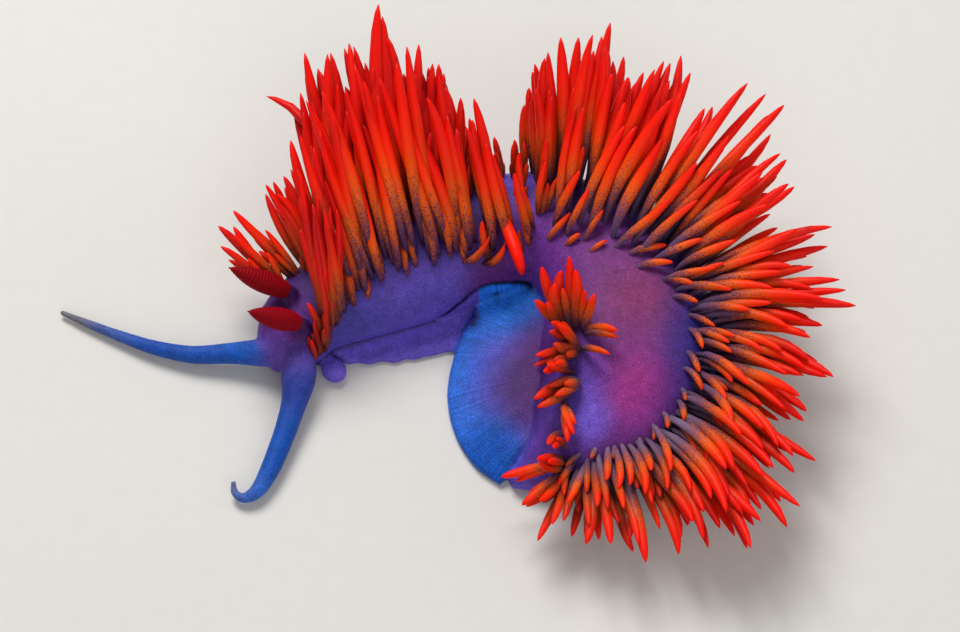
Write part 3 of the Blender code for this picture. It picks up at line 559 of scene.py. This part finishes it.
# Small pleats in the flap's front end, painted as spots of shade rather than modelled: x, y, z and radius
PLEATS = ((5.0, -3.4, 2.8, 0.42), (5.15, -3.9, 2.6, 0.3), (3.1, -5.2, 1.9, 0.5), (2.95, -5.8, 1.8, 0.4))
PLEAT_SHADE = 0.75
for *spot, radius in PLEATS:
    painted_light_and_shade *= 1 - PLEAT_SHADE * np.exp(-((places - spot) ** 2).sum(axis=1) / radius ** 2)
# The painted shade and highlight of the crease, the slit and the pleats darken or lighten the skin's colour
tone[:, :3] *= painted_light_and_shade[:, None]
skin.data.color_attributes.new("tone", "FLOAT_COLOR", "POINT").data.foreach_set("color", tone.ravel())
FLAP_HINGE = (14.0, -11.0)  # the flap's fine streaks fan out from here
fan = np.arctan2(places[:, 1] - FLAP_HINGE[1], places[:, 0] - FLAP_HINGE[0])
mark_points(skin.data, "fan", fan)
mark_points(skin.data, "on_flap", belongs["flap"] / cover)

# The grain and the specks are drawn about twice as coarse as real ones, to show in a picture
MOTTLE_SIZE, MOTTLE_SHADES = 0.9, (0.85, 1.18)
GRAIN_SIZE, GRAIN_SHADES = 0.16, (0.72, 1.32)
NOISE_BULK = (0.3, 0.7)  # nearly all of a noise's values lie in this range
SPECK_SPACING, SPECK_SIZE, SPECK_CORE, SPECK_SHADE = 0.34, 0.18, 0.6, 1.6
STREAK_TURN, STREAK_SHADES = 0.02, (0.84, 1.2)
SKIN_BUMP = 0.06
WET_SHEEN = {
    "Roughness": 0.5, "Specular IOR Level": 0.15,
    "Subsurface Weight": 0.2, "Subsurface Radius": (0.5, 0.3, 1.0), "Subsurface Scale": 0.5 * MM,
}


def wet_skin(tree, shader):
    """Living mollusc skin: soft and wet, with a fine grain, pale specks and light that sinks in a little."""
    colour = attribute(tree, "tone", "Color")
    for size, shades in ((MOTTLE_SIZE, MOTTLE_SHADES), (GRAIN_SIZE, GRAIN_SHADES)):
        colour = shaded(tree, colour, noise(tree, size, 3.0), NOISE_BULK, shades)
    sockets = {"W": attribute(tree, "fan"), "Scale": 1 / STREAK_TURN, "Detail": 2.0}
    streaks = add_node(tree, "ShaderNodeTexNoise", sockets, noise_dimensions="1D").outputs[0]
    colour = shaded(tree, colour, streaks, NOISE_BULK, STREAK_SHADES, attribute(tree, "on_flap"))
    sockets = {"Height": noise(tree, GRAIN_SIZE), "Distance": SKIN_BUMP * MM, "Strength": 1.0}
    bump = add_node(tree, "ShaderNodeBump", sockets)
    tree.links.new(bump.outputs[0], shader.inputs["Normal"])
    sockets = {"Vector": object_place(tree), "Scale": 1 / (SPECK_SPACING * MM)}
    cells = add_node(tree, "ShaderNodeTexVoronoi", sockets).outputs["Distance"]
    return shaded(tree, colour, cells, (SPECK_SIZE * SPECK_CORE, SPECK_SIZE), (SPECK_SHADE, 1.0))


skin.data.materials.clear()
skin.data.materials.append(new_material("wet_violet_skin", wet_skin, WET_SHEEN))
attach(skin, "root")
TRUNK_NAMES = ("trunk_front", "trunk_middle", "trunk_bend", "trunk_rear", "trunk_end")
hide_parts("head", "tail", "foot_front", "foot_middle", "foot_rear", "foot_flap", *TRUNK_NAMES)
for side in ("left", "right"):
    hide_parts(f"foot_corner_{side}", f"rhinophore_{side}_stalk")
    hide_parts(*(f"oral_tentacle_{side}_{length}" for length in ("base", "middle", "tip")))

# Rhinophores: the two clubs that smell the water, each a stack of thin slanting leaves round a core.
# They are deep crimson flesh, with painted shade in the grooves, and stand on stalks of the skin.
CLUB_RADIUS, CLUB_TIP, CLUB_START, CLUB_BELLY, CLUB_FULL = 1.02, 0.16, 0.2, 0.95, 0.8
CLUB_LEAVES, LEAF_RINGS, LEAF_DEPTH, LEAF_SLANT, CLUB_SIDES = 22, 4, 0.06, 0.4, 28
LEAF_PROFILE = (0.0, 0.75, 1.0, 0.55)  # from one groove to the next
TIP_BLUNT, TIP_STEEP = 0.2, 12  # the last leaves close in quickly to a blunt tip
CLUB_CRIMSON, GROOVE_SHADE_CRIMSON, CLUB_GRAIN = "#a40414", "#78020f", 0.25
LEAF_SHEEN = {
    "Roughness": 0.5, "Specular IOR Level": 0.06,
    "Subsurface Weight": 0.1, "Subsurface Radius": (1.0, 0.1, 0.1), "Subsurface Scale": 0.4 * MM,
}


def crimson_leaves(tree, _):
    """Thin fleshy leaves: deep crimson, finely grained, nearly without gloss; painted shade darkens the grooves,
    so each rim is a little lighter.
    """
    share = worked(tree, "MULTIPLY", attribute(tree, "rim"), noise(tree, CLUB_GRAIN))
    return mixed(tree, share, linear(GROOVE_SHADE_CRIMSON), linear(CLUB_CRIMSON))


crimson = new_material("crimson_leaves", crimson_leaves, LEAF_SHEEN)
for side, (_, start, tip) in RHINOPHORES.items():
    length = (tip - start).length
    turn = (tip - start).to_track_quat("Z", "Y")
    slant_way = turn.inverted() @ UP
    rings, rims = [], []
    for k in range(CLUB_LEAVES * LEAF_RINGS + 1):
        share = k / (CLUB_LEAVES * LEAF_RINGS)
        rim = LEAF_PROFILE[k % LEAF_RINGS]
        wave = math.sin(math.pi * (CLUB_START + (1 - CLUB_START) * share ** CLUB_BELLY))
        radius = max(CLUB_TIP, CLUB_RADIUS * max(0.0, wave) ** CLUB_FULL - (1 - rim) * LEAF_DEPTH)
        radius *= min(1.0, TIP_BLUNT + (1 - share) * TIP_STEEP)
        ring = []
        for n in range(CLUB_SIDES):
            t = math.tau * n / CLUB_SIDES
            across = Vector((math.cos(t), math.sin(t), 0)) * radius
            across.z = share * length - LEAF_SLANT * across.dot(slant_way) * math.sin(math.pi * share)
            ring.append(start + turn @ across)
        rings.append(ring)
        rims.extend([rim] * CLUB_SIDES)
    club = wrap_grid(f"rhinophore_{side}", rings)
    mark_points(club.data, "rim", rims)
    club.data.shade_smooth()
    club.data.materials.append(crimson)
    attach(club, "root")
    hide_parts(f"rhinophore_{side}_club")

# Cerata: hundreds of soft tapering fingers in two crowded bands along the back, with a bare strip between.
# Each is thin clear skin over an orange gland: greyish violet and speckled at its root, and red at its tip.
# They grow from the skin, into which their roots are sunk, and are laid row by row and then in sheaves.
# Headings: station, compass angle in the floor, rise above it, length, and how far they stray in degrees
INNER_HEADINGS = (
    (1.35, 110, 66, 3, 10), (1.6, 104, 56, 4.5, 9), (2.0, 100, 43, 10, 8), (2.4, 107, 39, 13.5, 6),
    (2.8, 113, 38, 16, 6), (3.3, 112, 38, 17.5, 5), (3.8, 109, 38, 18, 5), (4.3, 108, 41, 15.5, 5),
    (4.8, 104, 44, 14.5, 5), (5.1, 106, 46, 13, 6), (5.4, 108, 48, 10.5, 7), (5.7, 112, 54, 7.5, 8),
    (5.95, 120, 58, 5.5, 9),
)
OUTER_HEADINGS = (
    (1.6, 150, 28, 8, 8), (1.9, 140, 28, 9, 8), (2.2, 132, 30, 8.5, 8), (2.5, 118, 34, 8.5, 7),
    (2.65, 103, 34, 15.5, 5), (3.1, 102, 34, 16.6, 5), (3.6, 104, 37, 16.4, 5), (4.0, 101, 37, 17.8, 4),
    (4.4, 103, 43, 15.5, 5), (4.8, 105, 44, 13.5, 6), (5.1, 116, 46, 8, 7), (5.4, 120, 55, 5, 8),
    (5.65, 100, 62, 3.5, 7), (5.8, 92, 56, 7, 5), (6.1, 90, 44, 13, 5), (6.5, 78, 36, 14.8, 5),
    (6.9, 68, 33, 13.6, 6), (7.3, 60, 24, 15.6, 6), (7.6, 48, 21, 14.7, 6), (7.9, 40, 19, 13.4, 6),
    (8.2, 18, 18, 12.2, 5), (8.5, 0, 17, 12.4, 5), (8.8, -16, 16, 11.2, 5), (9.15, -33, 15, 10.5, 6),
    (9.4, -40, 14, 11.5, 6), (9.6, -45, 14, 12.4, 5), (9.9, -50, 14, 13.8, 5), (10.1, -54, 14, 14.4, 5),
    (10.35, -61, 13, 12.8, 6), (10.7, -71, 12, 10.2, 7), (11.0, -80, 11, 9.2, 8), (11.2, -89, 10, 8.6, 8),
    (11.4, -102, 9, 8, 9), (11.7, -126, 9, 7, 9),
)
# Degrees up the section of the lowest and the highest row of each side, by station
INNER_BAND = ((1.35, 4, 24), (1.6, 12, 34), (2.0, 26, 50), (2.3, 38, 60), (2.8, 54, 76), (3.2, 62, 84),
              (3.8, 60, 84), (4.2, 54, 82), (4.6, 36, 78), (5.0, 24, 76), (5.5, 28, 74), (5.95, 40, 70))
OUTER_BAND = ((1.6, 20, 56), (2.5, 36, 74), (3.5, 40, 76), (5.5, 42, 84), (6.0, 42, 104), (6.4, 38, 122),
              (6.84, 34, 118), (7.35, 30, 103), (7.7, 28, 90), (8.0, 26, 82), (8.3, 24, 73), (8.6, 22, 64),
              (9.0, 20, 56), (9.4, 18, 50), (9.8, 16, 48), (10.2, 16, 52), (10.5, 18, 56), (10.83, 20, 64),
              (11.2, 20, 70), (11.6, 18, 74))
# By station: how much wider they stand than elsewhere, how ripe the root is, and how milky its skin
SPARSE = {
    "inner": ((1.3, 1.1), (4.2, 1.0), (4.7, 1.3), (5.5, 1.6), (5.95, 1.2)),
    "outer": ((1.6, 1.6), (2.4, 1.4), (2.6, 1.0), (4.4, 1.0), (4.8, 1.3), (5.5, 1.6), (5.9, 1.05),
              (11.7, 1.0)),
}
RIPENESS = ((1.0, 0.02), (2.6, -0.02), (5.8, -0.04), (7.5, -0.16), (8.6, -0.26), (10.0, -0.26), (11.6, -0.18))
MILKINESS = ((1.3, 0.4), (2.6, 0.1), (5.8, 0.05), (6.6, 0.4), (9.0, 0.35), (10.0, 0.75), (11.6, 0.95))
# By station: how far they bow out to the left of their heading, as a share of their length, and how often
# they have leaned over and back
BOWING = ((7.6, 0.0), (8.6, 0.12), (10.4, 0.12), (11.4, 0.0))
LEANING = ((1.3, 0.0), (7.6, 11.0), (10.5, 20.0), (11.7, 23.0))
# Rows up a band: share of the way up, of the length, change of rise, degrees turned to the tail, spacing
INNER_ROWS = (
    (0.0, 0.26, -14, 16, 2.2), (0.25, 0.6, -6, 6, 1.5), (0.5, 0.9, -1, 0, 1.3), (0.75, 1.0, 0, 0, 1.25),
    (1.0, 0.92, 4, 0, 1.25),
)
OUTER_ROWS = (
    (0.0, 0.74, -8, 0, 1.25), (0.2, 0.95, -2, 0, 1.15), (0.4, 1.0, 2, 0, 1.15), (0.58, 0.88, 6, 2, 1.2),
    (0.74, 0.68, 8, 7, 1.3), (0.88, 0.44, 6, 20, 1.5), (1.0, 0.27, -4, 34, 1.6),
)
ROW_COUNTS, ROW_STEP = {"inner": 5, "outer": 9}, 0.13  # every other row starts a step further back
FIRST_STATION = {"inner": 1.35, "outer": 1.6}
BARE_BACK, CERATA_TO = 5.95, 11.6  # where the inner band and the outer band end
TRUNK_CUTS = (3.7, 5.6, 7.6, 9.7)  # stations where one length of the trunk ends and the next starts
# Those that stand out of line, in sheaves: the first and the last seat, each a station and degrees up, where
# the tips gather, how far the middle is off the straight, how many, radius, and how much riper they are
SHEAVES = (
    ((0.98, -30), (1.06, -24), (-11.5, -9.0, 5.0), (0, 0, 0.2), 2, 0.27, 0.04),
    ((1.1, -22), (1.3, 0), (-10.8, -8.0, 6.2), (0, 0, 0.2), 4, 0.28, 0.0),
    ((1.2, -14), (1.5, 12), (-9.8, -7.2, 7.6), (0, 0, 0.2), 5, 0.3, 0.04),
    ((1.6, 20), (1.9, 24), (-9.6, -5.0, 9.5), (0, 0, 0.2), 3, 0.34, 0.0),
    ((1.45, 30), (2.1, 26), (-10.5, 0.0, 14.0), (0.5, -1.0, 0.5), 6, 0.4, 0.08),
    ((1.8, 35), (2.4, 45), (-9.4, -1.6, 14.0), (0.5, -1.0, 0.5), 5, 0.36, 0.0),
    ((1.6, 45), (2.0, 50), (-11.9, 2.0, 14.5), (0.5, -0.5, 0.5), 3, 0.42, 0.12),
    ((2.2, 110), (2.4, 100), (-15.2, 2.4, 12.0), (0.4, 0.8, 0.6), 4, 0.44, 0.1),
    ((2.5, 100), (3.0, 112), (-11.6, 12.6, 15.0), (0.4, 0, 0.4), 6, 0.5, 0.1),
    ((2.5, 90), (2.7, 96), (-15.5, 11.4, 12.5), (4.4, 3.0, 3.4), 1, 0.6, 0.16),
    ((3.2, 104), (3.5, 112), (-8.0, 14.4, 16.4), (0, 0, 0), 5, 0.54, 0.08),
    ((3.6, 100), (3.8, 96), (-5.2, 16.4, 19.2), (0, 0, 0), 3, 0.72, 0.12),
    ((4.2, 104), (4.5, 100), (-1.6, 14.4, 16.4), (0, 0, 0), 5, 0.56, 0.06),
    ((5.2, 90), (5.4, 96), (7.3, -4.9, 8.7), (0.5, -2.6, 2.4), 1, 0.62, 0.26),
    ((4.4, 52), (4.6, 44), (4.4, -1.2, 8.6), (0.2, -1.0, -0.7), 3, 0.3, -0.04),
    ((4.7, 40), (4.9, 32), (5.9, -1.2, 8.2), (0.4, -0.7, -0.4), 3, 0.3, -0.04),
    ((8.88, 44), (8.92, 47), (9.5, -6.5, 12.2), (-0.7, 0, 0), 3, 0.62, 0.22),
    ((8.94, 50), (9.0, 53), (11.6, -5.9, 12.6), (0.4, 0, 0), 3, 0.62, 0.24),
    ((9.0, 48), (9.02, 50), (10.8, -7.7, 11.4), (0, 0, 0), 1, 0.42, 0.04),
    ((9.0, 58), (9.1, 60), (12.8, -8.6, 12.0), (0, 0, 0), 2, 0.45, 0.12),
    ((8.9, 36), (9.0, 44), (8.8, -8.8, 11.2), (0, 0, 0), 2, 0.5, 0.16),
    ((9.0, 56), (9.2, 60), (15.4, -11.9, 10.6), (0, 0, 0.6), 2, 0.36, -0.02),
    ((9.5, 58), (9.6, 62), (14.5, -13.7, 10.2), (0, 0, 0.6), 2, 0.36, 0.05),
    ((9.3, 44), (9.6, 60), (9.8, -11.6, 11.6), (0.6, 0, 0), 5, 0.48, 0.16),
    ((9.5, 62), (9.9, 52), (9.6, -13.2, 9.6), (0.4, 0, 0.8), 4, 0.46, 0.14),
    ((9.6, 50), (9.8, 60), (8.6, -13.8, 9.6), (0.4, 0, 0.6), 3, 0.42, 0.16),
    ((10.0, 44), (10.2, 62), (9.4, -15.0, 10.2), (0.4, 0, 0.4), 4, 0.44, 0.18),
    ((10.2, 68), (10.4, 72), (9.6, -16.2, 8.6), (0.4, 0, 0.6), 3, 0.4, 0.12),
    ((10.4, 56), (10.6, 70), (8.4, -17.2, 8.0), (0.4, 0, 0.8), 4, 0.42, 0.18),
    ((10.7, 66), (10.9, 76), (11.6, -20.6, 8.2), (0, 0, 0.8), 4, 0.4, 0.16),
    ((11.2, 80), (11.4, 100), (9.4, -21.2, 8.0), (0, 0, 0.4), 3, 0.36, 0.14),
    ((11.55, 100), (11.6, 130), (8.6, -23.2, 8.8), (0, 0, 0), 3, 0.4, 0.16),
    ((11.5, 110), (11.6, 120), (5.4, -23.0, 5.2), (0, 0, 0.6), 2, 0.42, 0.18),
    ((11.5, 124), (11.6, 150), (7.2, -25.8, 5.2), (0, 0, 0.6), 4, 0.46, 0.08),
)
# The thicker those of a sheaf are, the closer together their tips lie
SHEAF_SPREAD, THIN, SHEAF_SHORTEST = 0.26, 0.44, 0.72
SHORTEST, LONGEST, YOUNG_SHARE, YOUNG_LENGTH = 0.78, 1.08, 0.16, 0.5
CERAS_RADIUS, THINNEST, THICKEST, NEWBORN_RADIUS, GROWN = 0.54, 0.88, 1.12, 0.4, 11
LEAN_TURN, LEAN_REACH = 6, 0.06  # they lean together in clumps, whose middle ones reach furthest
CERAS_OUT, CERAS_ELBOW, CERAS_BOW, ROOT_SUNK, ABOVE_FLOOR, TALLEST = (0.14, 0.32), 0.6, 0.07, 0.9, 0.6, 19.4
CERAS_PROFILE = ((0.0, 0.46), (0.12, 0.49), (0.28, 0.7), (0.46, 0.93), (0.62, 1.0), (0.77, 0.92), (0.89, 0.7),
                 (0.965, 0.4), (1.0, 0.08))
CERAS_SIDES, CERAS_FLATNESS = 8, 0.88
SEAT_STRAY = {"inner": (7, 2), "outer": (3, 5)}  # degrees that seats stray, in the lowest row and the highest
STATION_STRAY, RISE_STRAY = 0.06, 0.6  # how far seats stray along the body, and the rise's share of the stray
RIPE_SPREAD = 0.18  # how much riper one is than another
ROW_GIVE, SHEAF_GIVE = 1.0, 0.14  # how readily each kind gives way to its neighbours
YOUNG_ROOT, YOUNG_TIP = 0.3, 0.42  # the young are orange nearly all over
RIPE_AT_TIP = 0.35  # how much of the difference in ripeness is left at the tip


def bezier(knots, t):
    """The place at a share of the way along the curve of four knots."""
    a, b, c, d = knots
    return a * (1 - t) ** 3 + b * (3 * t * (1 - t) ** 2) + c * (3 * t * t * (1 - t)) + d * t ** 3


def one_ceras(seat, angle, tip, radius, riper, give, elbow, chance):
    """A ceras on a line of four knots from its seat to its tip, and how ripe it is at each end."""
    root, normal = skin_point(seat, angle), skin_normal(seat, angle)
    length = (tip - root).length
    bow = Vector([chance.uniform(-1, 1) for _ in range(3)]) * CERAS_BOW * length
    young = max(0.0, 1 - length / GROWN)
    ripe = chance.random() * RIPE_SPREAD + between(RIPENESS, seat)[0] + riper
    milky = between(MILKINESS, seat)[0]
    return {
        "node": TRUNK_NAMES[sum(seat > cut for cut in TRUNK_CUTS)],
        "knots": [root - normal * ROOT_SUNK, root + normal * length * chance.uniform(*CERAS_OUT),
                  root.lerp(tip, CERAS_ELBOW) + bow + elbow, tip],
        "radius": radius, "give": give, "milky": milky,
        "ripe": (ripe + young * YOUNG_ROOT * (1 - milky), 1 + ripe * RIPE_AT_TIP - young * YOUNG_TIP),
    }


def lay_side(side, band, headings, rows, last):
    """The rows of cerata of one side."""
    laid = []
    for number in range(ROW_COUNTS[side]):
        way_up = number / (ROW_COUNTS[side] - 1)
        u, k = FIRST_STATION[side] + ROW_STEP * (number % 2), 0
        share, lift, turn, spacing = between(rows, way_up)
        while u < last:
            chance = random.Random(f"{side} {number} {k}")
            lowest, highest = between(band, u)
            seat_stray = SEAT_STRAY[side][0] * (1 - way_up) + SEAT_STRAY[side][1] * way_up
            angle = lowest + (highest - lowest) * way_up + chance.uniform(-seat_stray, seat_stray)
            angle = math.radians(angle if side == "inner" else 180 - angle)
            seat = u + chance.uniform(-STATION_STRAY, STATION_STRAY)
            compass, rise, length, stray = between(headings, u)
            lean = math.tau * between(LEANING, u)[0]
            length *= share * chance.uniform(SHORTEST, LONGEST) * (1 + LEAN_REACH * math.cos(lean))
            if chance.random() < YOUNG_SHARE:
                length *= YOUNG_LENGTH
            grown = NEWBORN_RADIUS + (1 - NEWBORN_RADIUS) * min(1.0, length / GROWN)
            radius = CERAS_RADIUS * grown * chance.uniform(THINNEST, THICKEST)
            compass += LEAN_TURN * math.sin(lean) - turn + chance.uniform(-stray, stray)
            heading = direction(compass, rise + lift + chance.uniform(-RISE_STRAY, RISE_STRAY) * stray)
            tip = skin_point(seat, angle) + heading * length
            bowed = direction(compass + 90, 0) * between(BOWING, u)[0] * length
            laid.append(one_ceras(seat, angle, tip, radius, 0.0, ROW_GIVE, bowed, chance))
            stride = (skin_point(u + NEARBY, angle) - skin_point(u, angle)).length / NEARBY
            u += spacing * between(SPARSE[side], u)[0] / stride
            k += 1
    return laid


cerata = lay_side("inner", INNER_BAND, INNER_HEADINGS, INNER_ROWS, BARE_BACK)
cerata += lay_side("outer", OUTER_BAND, OUTER_HEADINGS, OUTER_ROWS, CERATA_TO)
for number, (first, last, gather, elbow, count, radius, riper) in enumerate(SHEAVES):
    for k in range(count):
        chance = random.Random(f"sheaf {number} {k}")
        share = (k + 0.5) / count
        seat, angle = (a + (b - a) * share for a, b in zip(first, last))
        root = skin_point(seat, math.radians(angle))
        astray = Vector([chance.uniform(-1, 1) for _ in range(3)]) * SHEAF_SPREAD / max(radius, THIN)
        reach = 1.0 if k == 0 else chance.uniform(SHEAF_SHORTEST, 1.0)
        tip = root.lerp(Vector(gather) + astray * min(k, 1), reach)
        thick = radius * chance.uniform(THINNEST, THICKEST)
        bend = Vector(elbow)
        cerata.append(one_ceras(seat, math.radians(angle), tip, thick, riper, SHEAF_GIVE, bend, chance))

STAYS = (0.35, 0.55, 0.75, 0.95)  # places along a ceras where it keeps clear of the others
EASING_ROUNDS, EASING, ELBOW_EASE, LONGEST_EASE, EASE_SHARE = 8, 0.5, 0.5, 0.6, 0.06
HARDLY = 1e-6  # stands in for no length at all, where something is divided by it


def ease_apart(cerata):
    """Bends cerata that run through one another a little apart, as soft fingers lie."""
    count, stays = len(cerata), len(STAYS)
    owner = np.repeat(np.arange(count), stays)
    thick = [between(CERAS_PROFILE, t)[0] for t in STAYS]
    widths = np.array([[one["radius"] * width for width in thick] for one in cerata]).ravel()
    pull = np.tile(STAYS, count)
    for _ in range(EASING_ROUNDS):
        spots = np.array([[bezier(one["knots"], t) for t in STAYS] for one in cerata]).reshape(-1, 3)
        push = np.zeros((count, 3))
        for n in range(count):
            mine = spots[n * stays:(n + 1) * stays]
            apart = mine[:, None] - spots[None]
            far = np.linalg.norm(apart, axis=2) + HARDLY
            near = (widths[n * stays:(n + 1) * stays, None] + widths[None] - far).clip(0)
            near[:, owner == n] = 0
            push[n] = (apart / far[:, :, None] * (near * pull[None])[:, :, None]).sum(axis=(0, 1))
        for one, shift in zip(cerata, push):
            shift = Vector(shift) * EASING * one["give"]
            knots = one["knots"]
            most = min(LONGEST_EASE, EASE_SHARE * (knots[3] - knots[0]).length)
            shift *= min(1.0, most / max(shift.length, HARDLY))
            knots[2] += shift * ELBOW_EASE
            knots[3] += shift
            for knot in knots[2:]:
                knot.z = min(max(knot.z, ABOVE_FLOOR), TALLEST)


SHADE_REACH, SHADE_STRENGTH, SHADE_NEAR = 2.6, 0.1, 1.3  # the nearer a neighbour is, the more it shades


def shade_of_neighbours(cerata):
    """How much of the light from above the neighbours keep from each ring of each ceras, from 0 to 1."""
    spots = np.array([[bezier(one["knots"], t) for t, _ in CERAS_PROFILE] for one in cerata])
    rings = spots.shape[1]
    spots = spots.reshape(-1, 3)
    owner = np.repeat(np.arange(len(cerata)), rings)
    shade = np.zeros(len(spots))
    for n, spot in enumerate(spots):
        away = spots - spot
        far = np.linalg.norm(away, axis=1)
        over = (far < SHADE_REACH) & (far > 0) & (away[:, 2] > 0) & (owner != owner[n])
        shade[n] = (away[over, 2] / far[over] * (SHADE_NEAR - far[over] / SHADE_REACH)).sum()
    return (1 - np.exp(-SHADE_STRENGTH * shade)).reshape(-1, rings)


# The gland is a fine speckle of orange where it starts, which comes together into solid orange and then red.
# The specks are drawn about twice as coarse as real ones, to show in a picture.
GLAND_GRAIN, GLAND_DITHER, GLAND_EDGE, GRAIN_BULK = 0.12, 0.28, (0.28, 0.46), (0.25, 0.75)
# Colours of the skin's wall and of the gland under it, by ripeness
WALL_COLOURS = ((0.0, "#342060"), (0.18, "#472a62"), (0.36, "#582c50"), (0.6, "#6e2434"), (1.0, "#8a2a20"))
GLAND_COLOURS = ((0.0, "#a8683c"), (0.3, "#c05812"), (0.48, "#ee6002"), (0.64, "#ff3402"), (0.8, "#fb1802"),
                 (1.0, "#ec1002"))
MILKY_SKIN, SHADED_FLESH, DEEPEST_SHADE = "#8c7690", "#300a1c", 0.85
MILK_ENDS = (0.1, 0.6)  # the ripeness at which the milky skin starts to clear, and at which it has cleared
CLEAR_SHEEN = {
    "Roughness": 0.42, "Specular IOR Level": 0.13,
    "Subsurface Weight": 0.3, "Subsurface Radius": (1.0, 0.25, 0.15), "Subsurface Scale": 0.5 * MM,
}


def speckled_glands(tree, _):
    """Clear wet skin over orange glands: fine specks at the root, solid orange, red at the tip, and painted shade
    where neighbours crowd over it.
    """
    ripe, milky, shade = (attribute(tree, name) for name in ("ripe", "milky", "shade"))
    dither = spread_out(tree, noise(tree, GLAND_GRAIN, 1.0), GRAIN_BULK, (-GLAND_DITHER, GLAND_DITHER))
    gland_share = spread_out(tree, worked(tree, "ADD", ripe, dither), GLAND_EDGE)
    ramps = []
    for stops in (WALL_COLOURS, GLAND_COLOURS):
        ramp = add_node(tree, "ShaderNodeValToRGB", {"Fac": ripe})
        elements = ramp.color_ramp.elements
        elements[1].position = 1.0
        for position, _ in stops[1:-1]:
            elements.new(position)
        for element, (_, colour) in zip(elements, stops):
            element.color = linear(colour)
        ramps.append(ramp.outputs[0])
    wall, gland = ramps
    milk = worked(tree, "MULTIPLY", milky, spread_out(tree, ripe, MILK_ENDS, (1.0, 0.0)))
    colour = mixed(tree, gland_share, mixed(tree, milk, wall, linear(MILKY_SKIN)), gland)
    return mixed(tree, shade, colour, linear(SHADED_FLESH))


ease_apart(cerata)
shades = shade_of_neighbours(cerata) * DEEPEST_SHADE
glands = new_material("clear_skin_over_orange_glands", speckled_glands, CLEAR_SHEEN)
# In the OFBake map each ceras lies alone in a cell, with its two ends as small discs below and above it
CELL_MARGIN = 0.06
DISC_PLACES, DISC_SIZE = (0.03, 0.97), 0.02
for name in TRUNK_NAMES:
    mine = [(one, shade) for one, shade in zip(cerata, shades) if one["node"] == name]
    cells = math.ceil(math.sqrt(len(mine)))
    places, faces, spread, marks = [], [], [], {"ripe": [], "milky": [], "shade": []}
    for number, (one, shade) in enumerate(mine):
        root = len(places)
        centres = [bezier(one["knots"], t) for t, _ in CERAS_PROFILE]
        widths = [one["radius"] * width for _, width in CERAS_PROFILE]
        rings = rings_round(centres, widths, CERAS_SIDES, CERAS_FLATNESS)
        column, row = number % cells, number // cells
        for ring, (share, _), dark in zip(rings, CERAS_PROFILE, shade):
            places.extend(ring)
            ripe = one["ripe"][0] * (1 - share) + one["ripe"][1] * share
            for mark, value in (("ripe", ripe), ("milky", one["milky"]), ("shade", dark)):
                marks[mark].extend([value] * CERAS_SIDES)
        for r in range(len(CERAS_PROFILE) - 1):
            for k in range(CERAS_SIDES):
                low, high = root + r * CERAS_SIDES, root + (r + 1) * CERAS_SIDES
                n = (k + 1) % CERAS_SIDES
                faces.append((low + k, low + n, high + n, high + k))
                for i, j in ((k, r), (k + 1, r), (k + 1, r + 1), (k, r + 1)):
                    spread.append((column + CELL_MARGIN + (1 - 2 * CELL_MARGIN) * i / CERAS_SIDES) / cells)
                    spread.append((row + CELL_MARGIN + (1 - 2 * CELL_MARGIN) * CERAS_PROFILE[j][0]) / cells)
        tip = len(places) - CERAS_SIDES
        faces.append([tip + k for k in range(CERAS_SIDES)])
        faces.append([root + k for k in reversed(range(CERAS_SIDES))])
        for end in (1, 0):
            for k in range(CERAS_SIDES):
                turn = math.tau * k / CERAS_SIDES
                spread.append((column + 0.5 + DISC_SIZE * math.cos(turn)) / cells)
                spread.append((row + DISC_PLACES[end] + DISC_SIZE * math.sin(turn)) / cells)
    mesh = bpy.data.meshes.new(name.replace("trunk", "cerata"))
    mesh.from_pydata([place * MM for place in places], [], faces)
    mesh.uv_layers.new(name="OFBake").data.foreach_set("uv", spread)
    for mark, values in marks.items():
        mark_points(mesh, mark, values)
    mesh.shade_smooth()
    mesh.materials.append(glands)
    tuft = bpy.data.objects.new(mesh.name, mesh)
    bpy.context.scene.collection.objects.link(tuft)
    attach(tuft, "root")
    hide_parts(name)
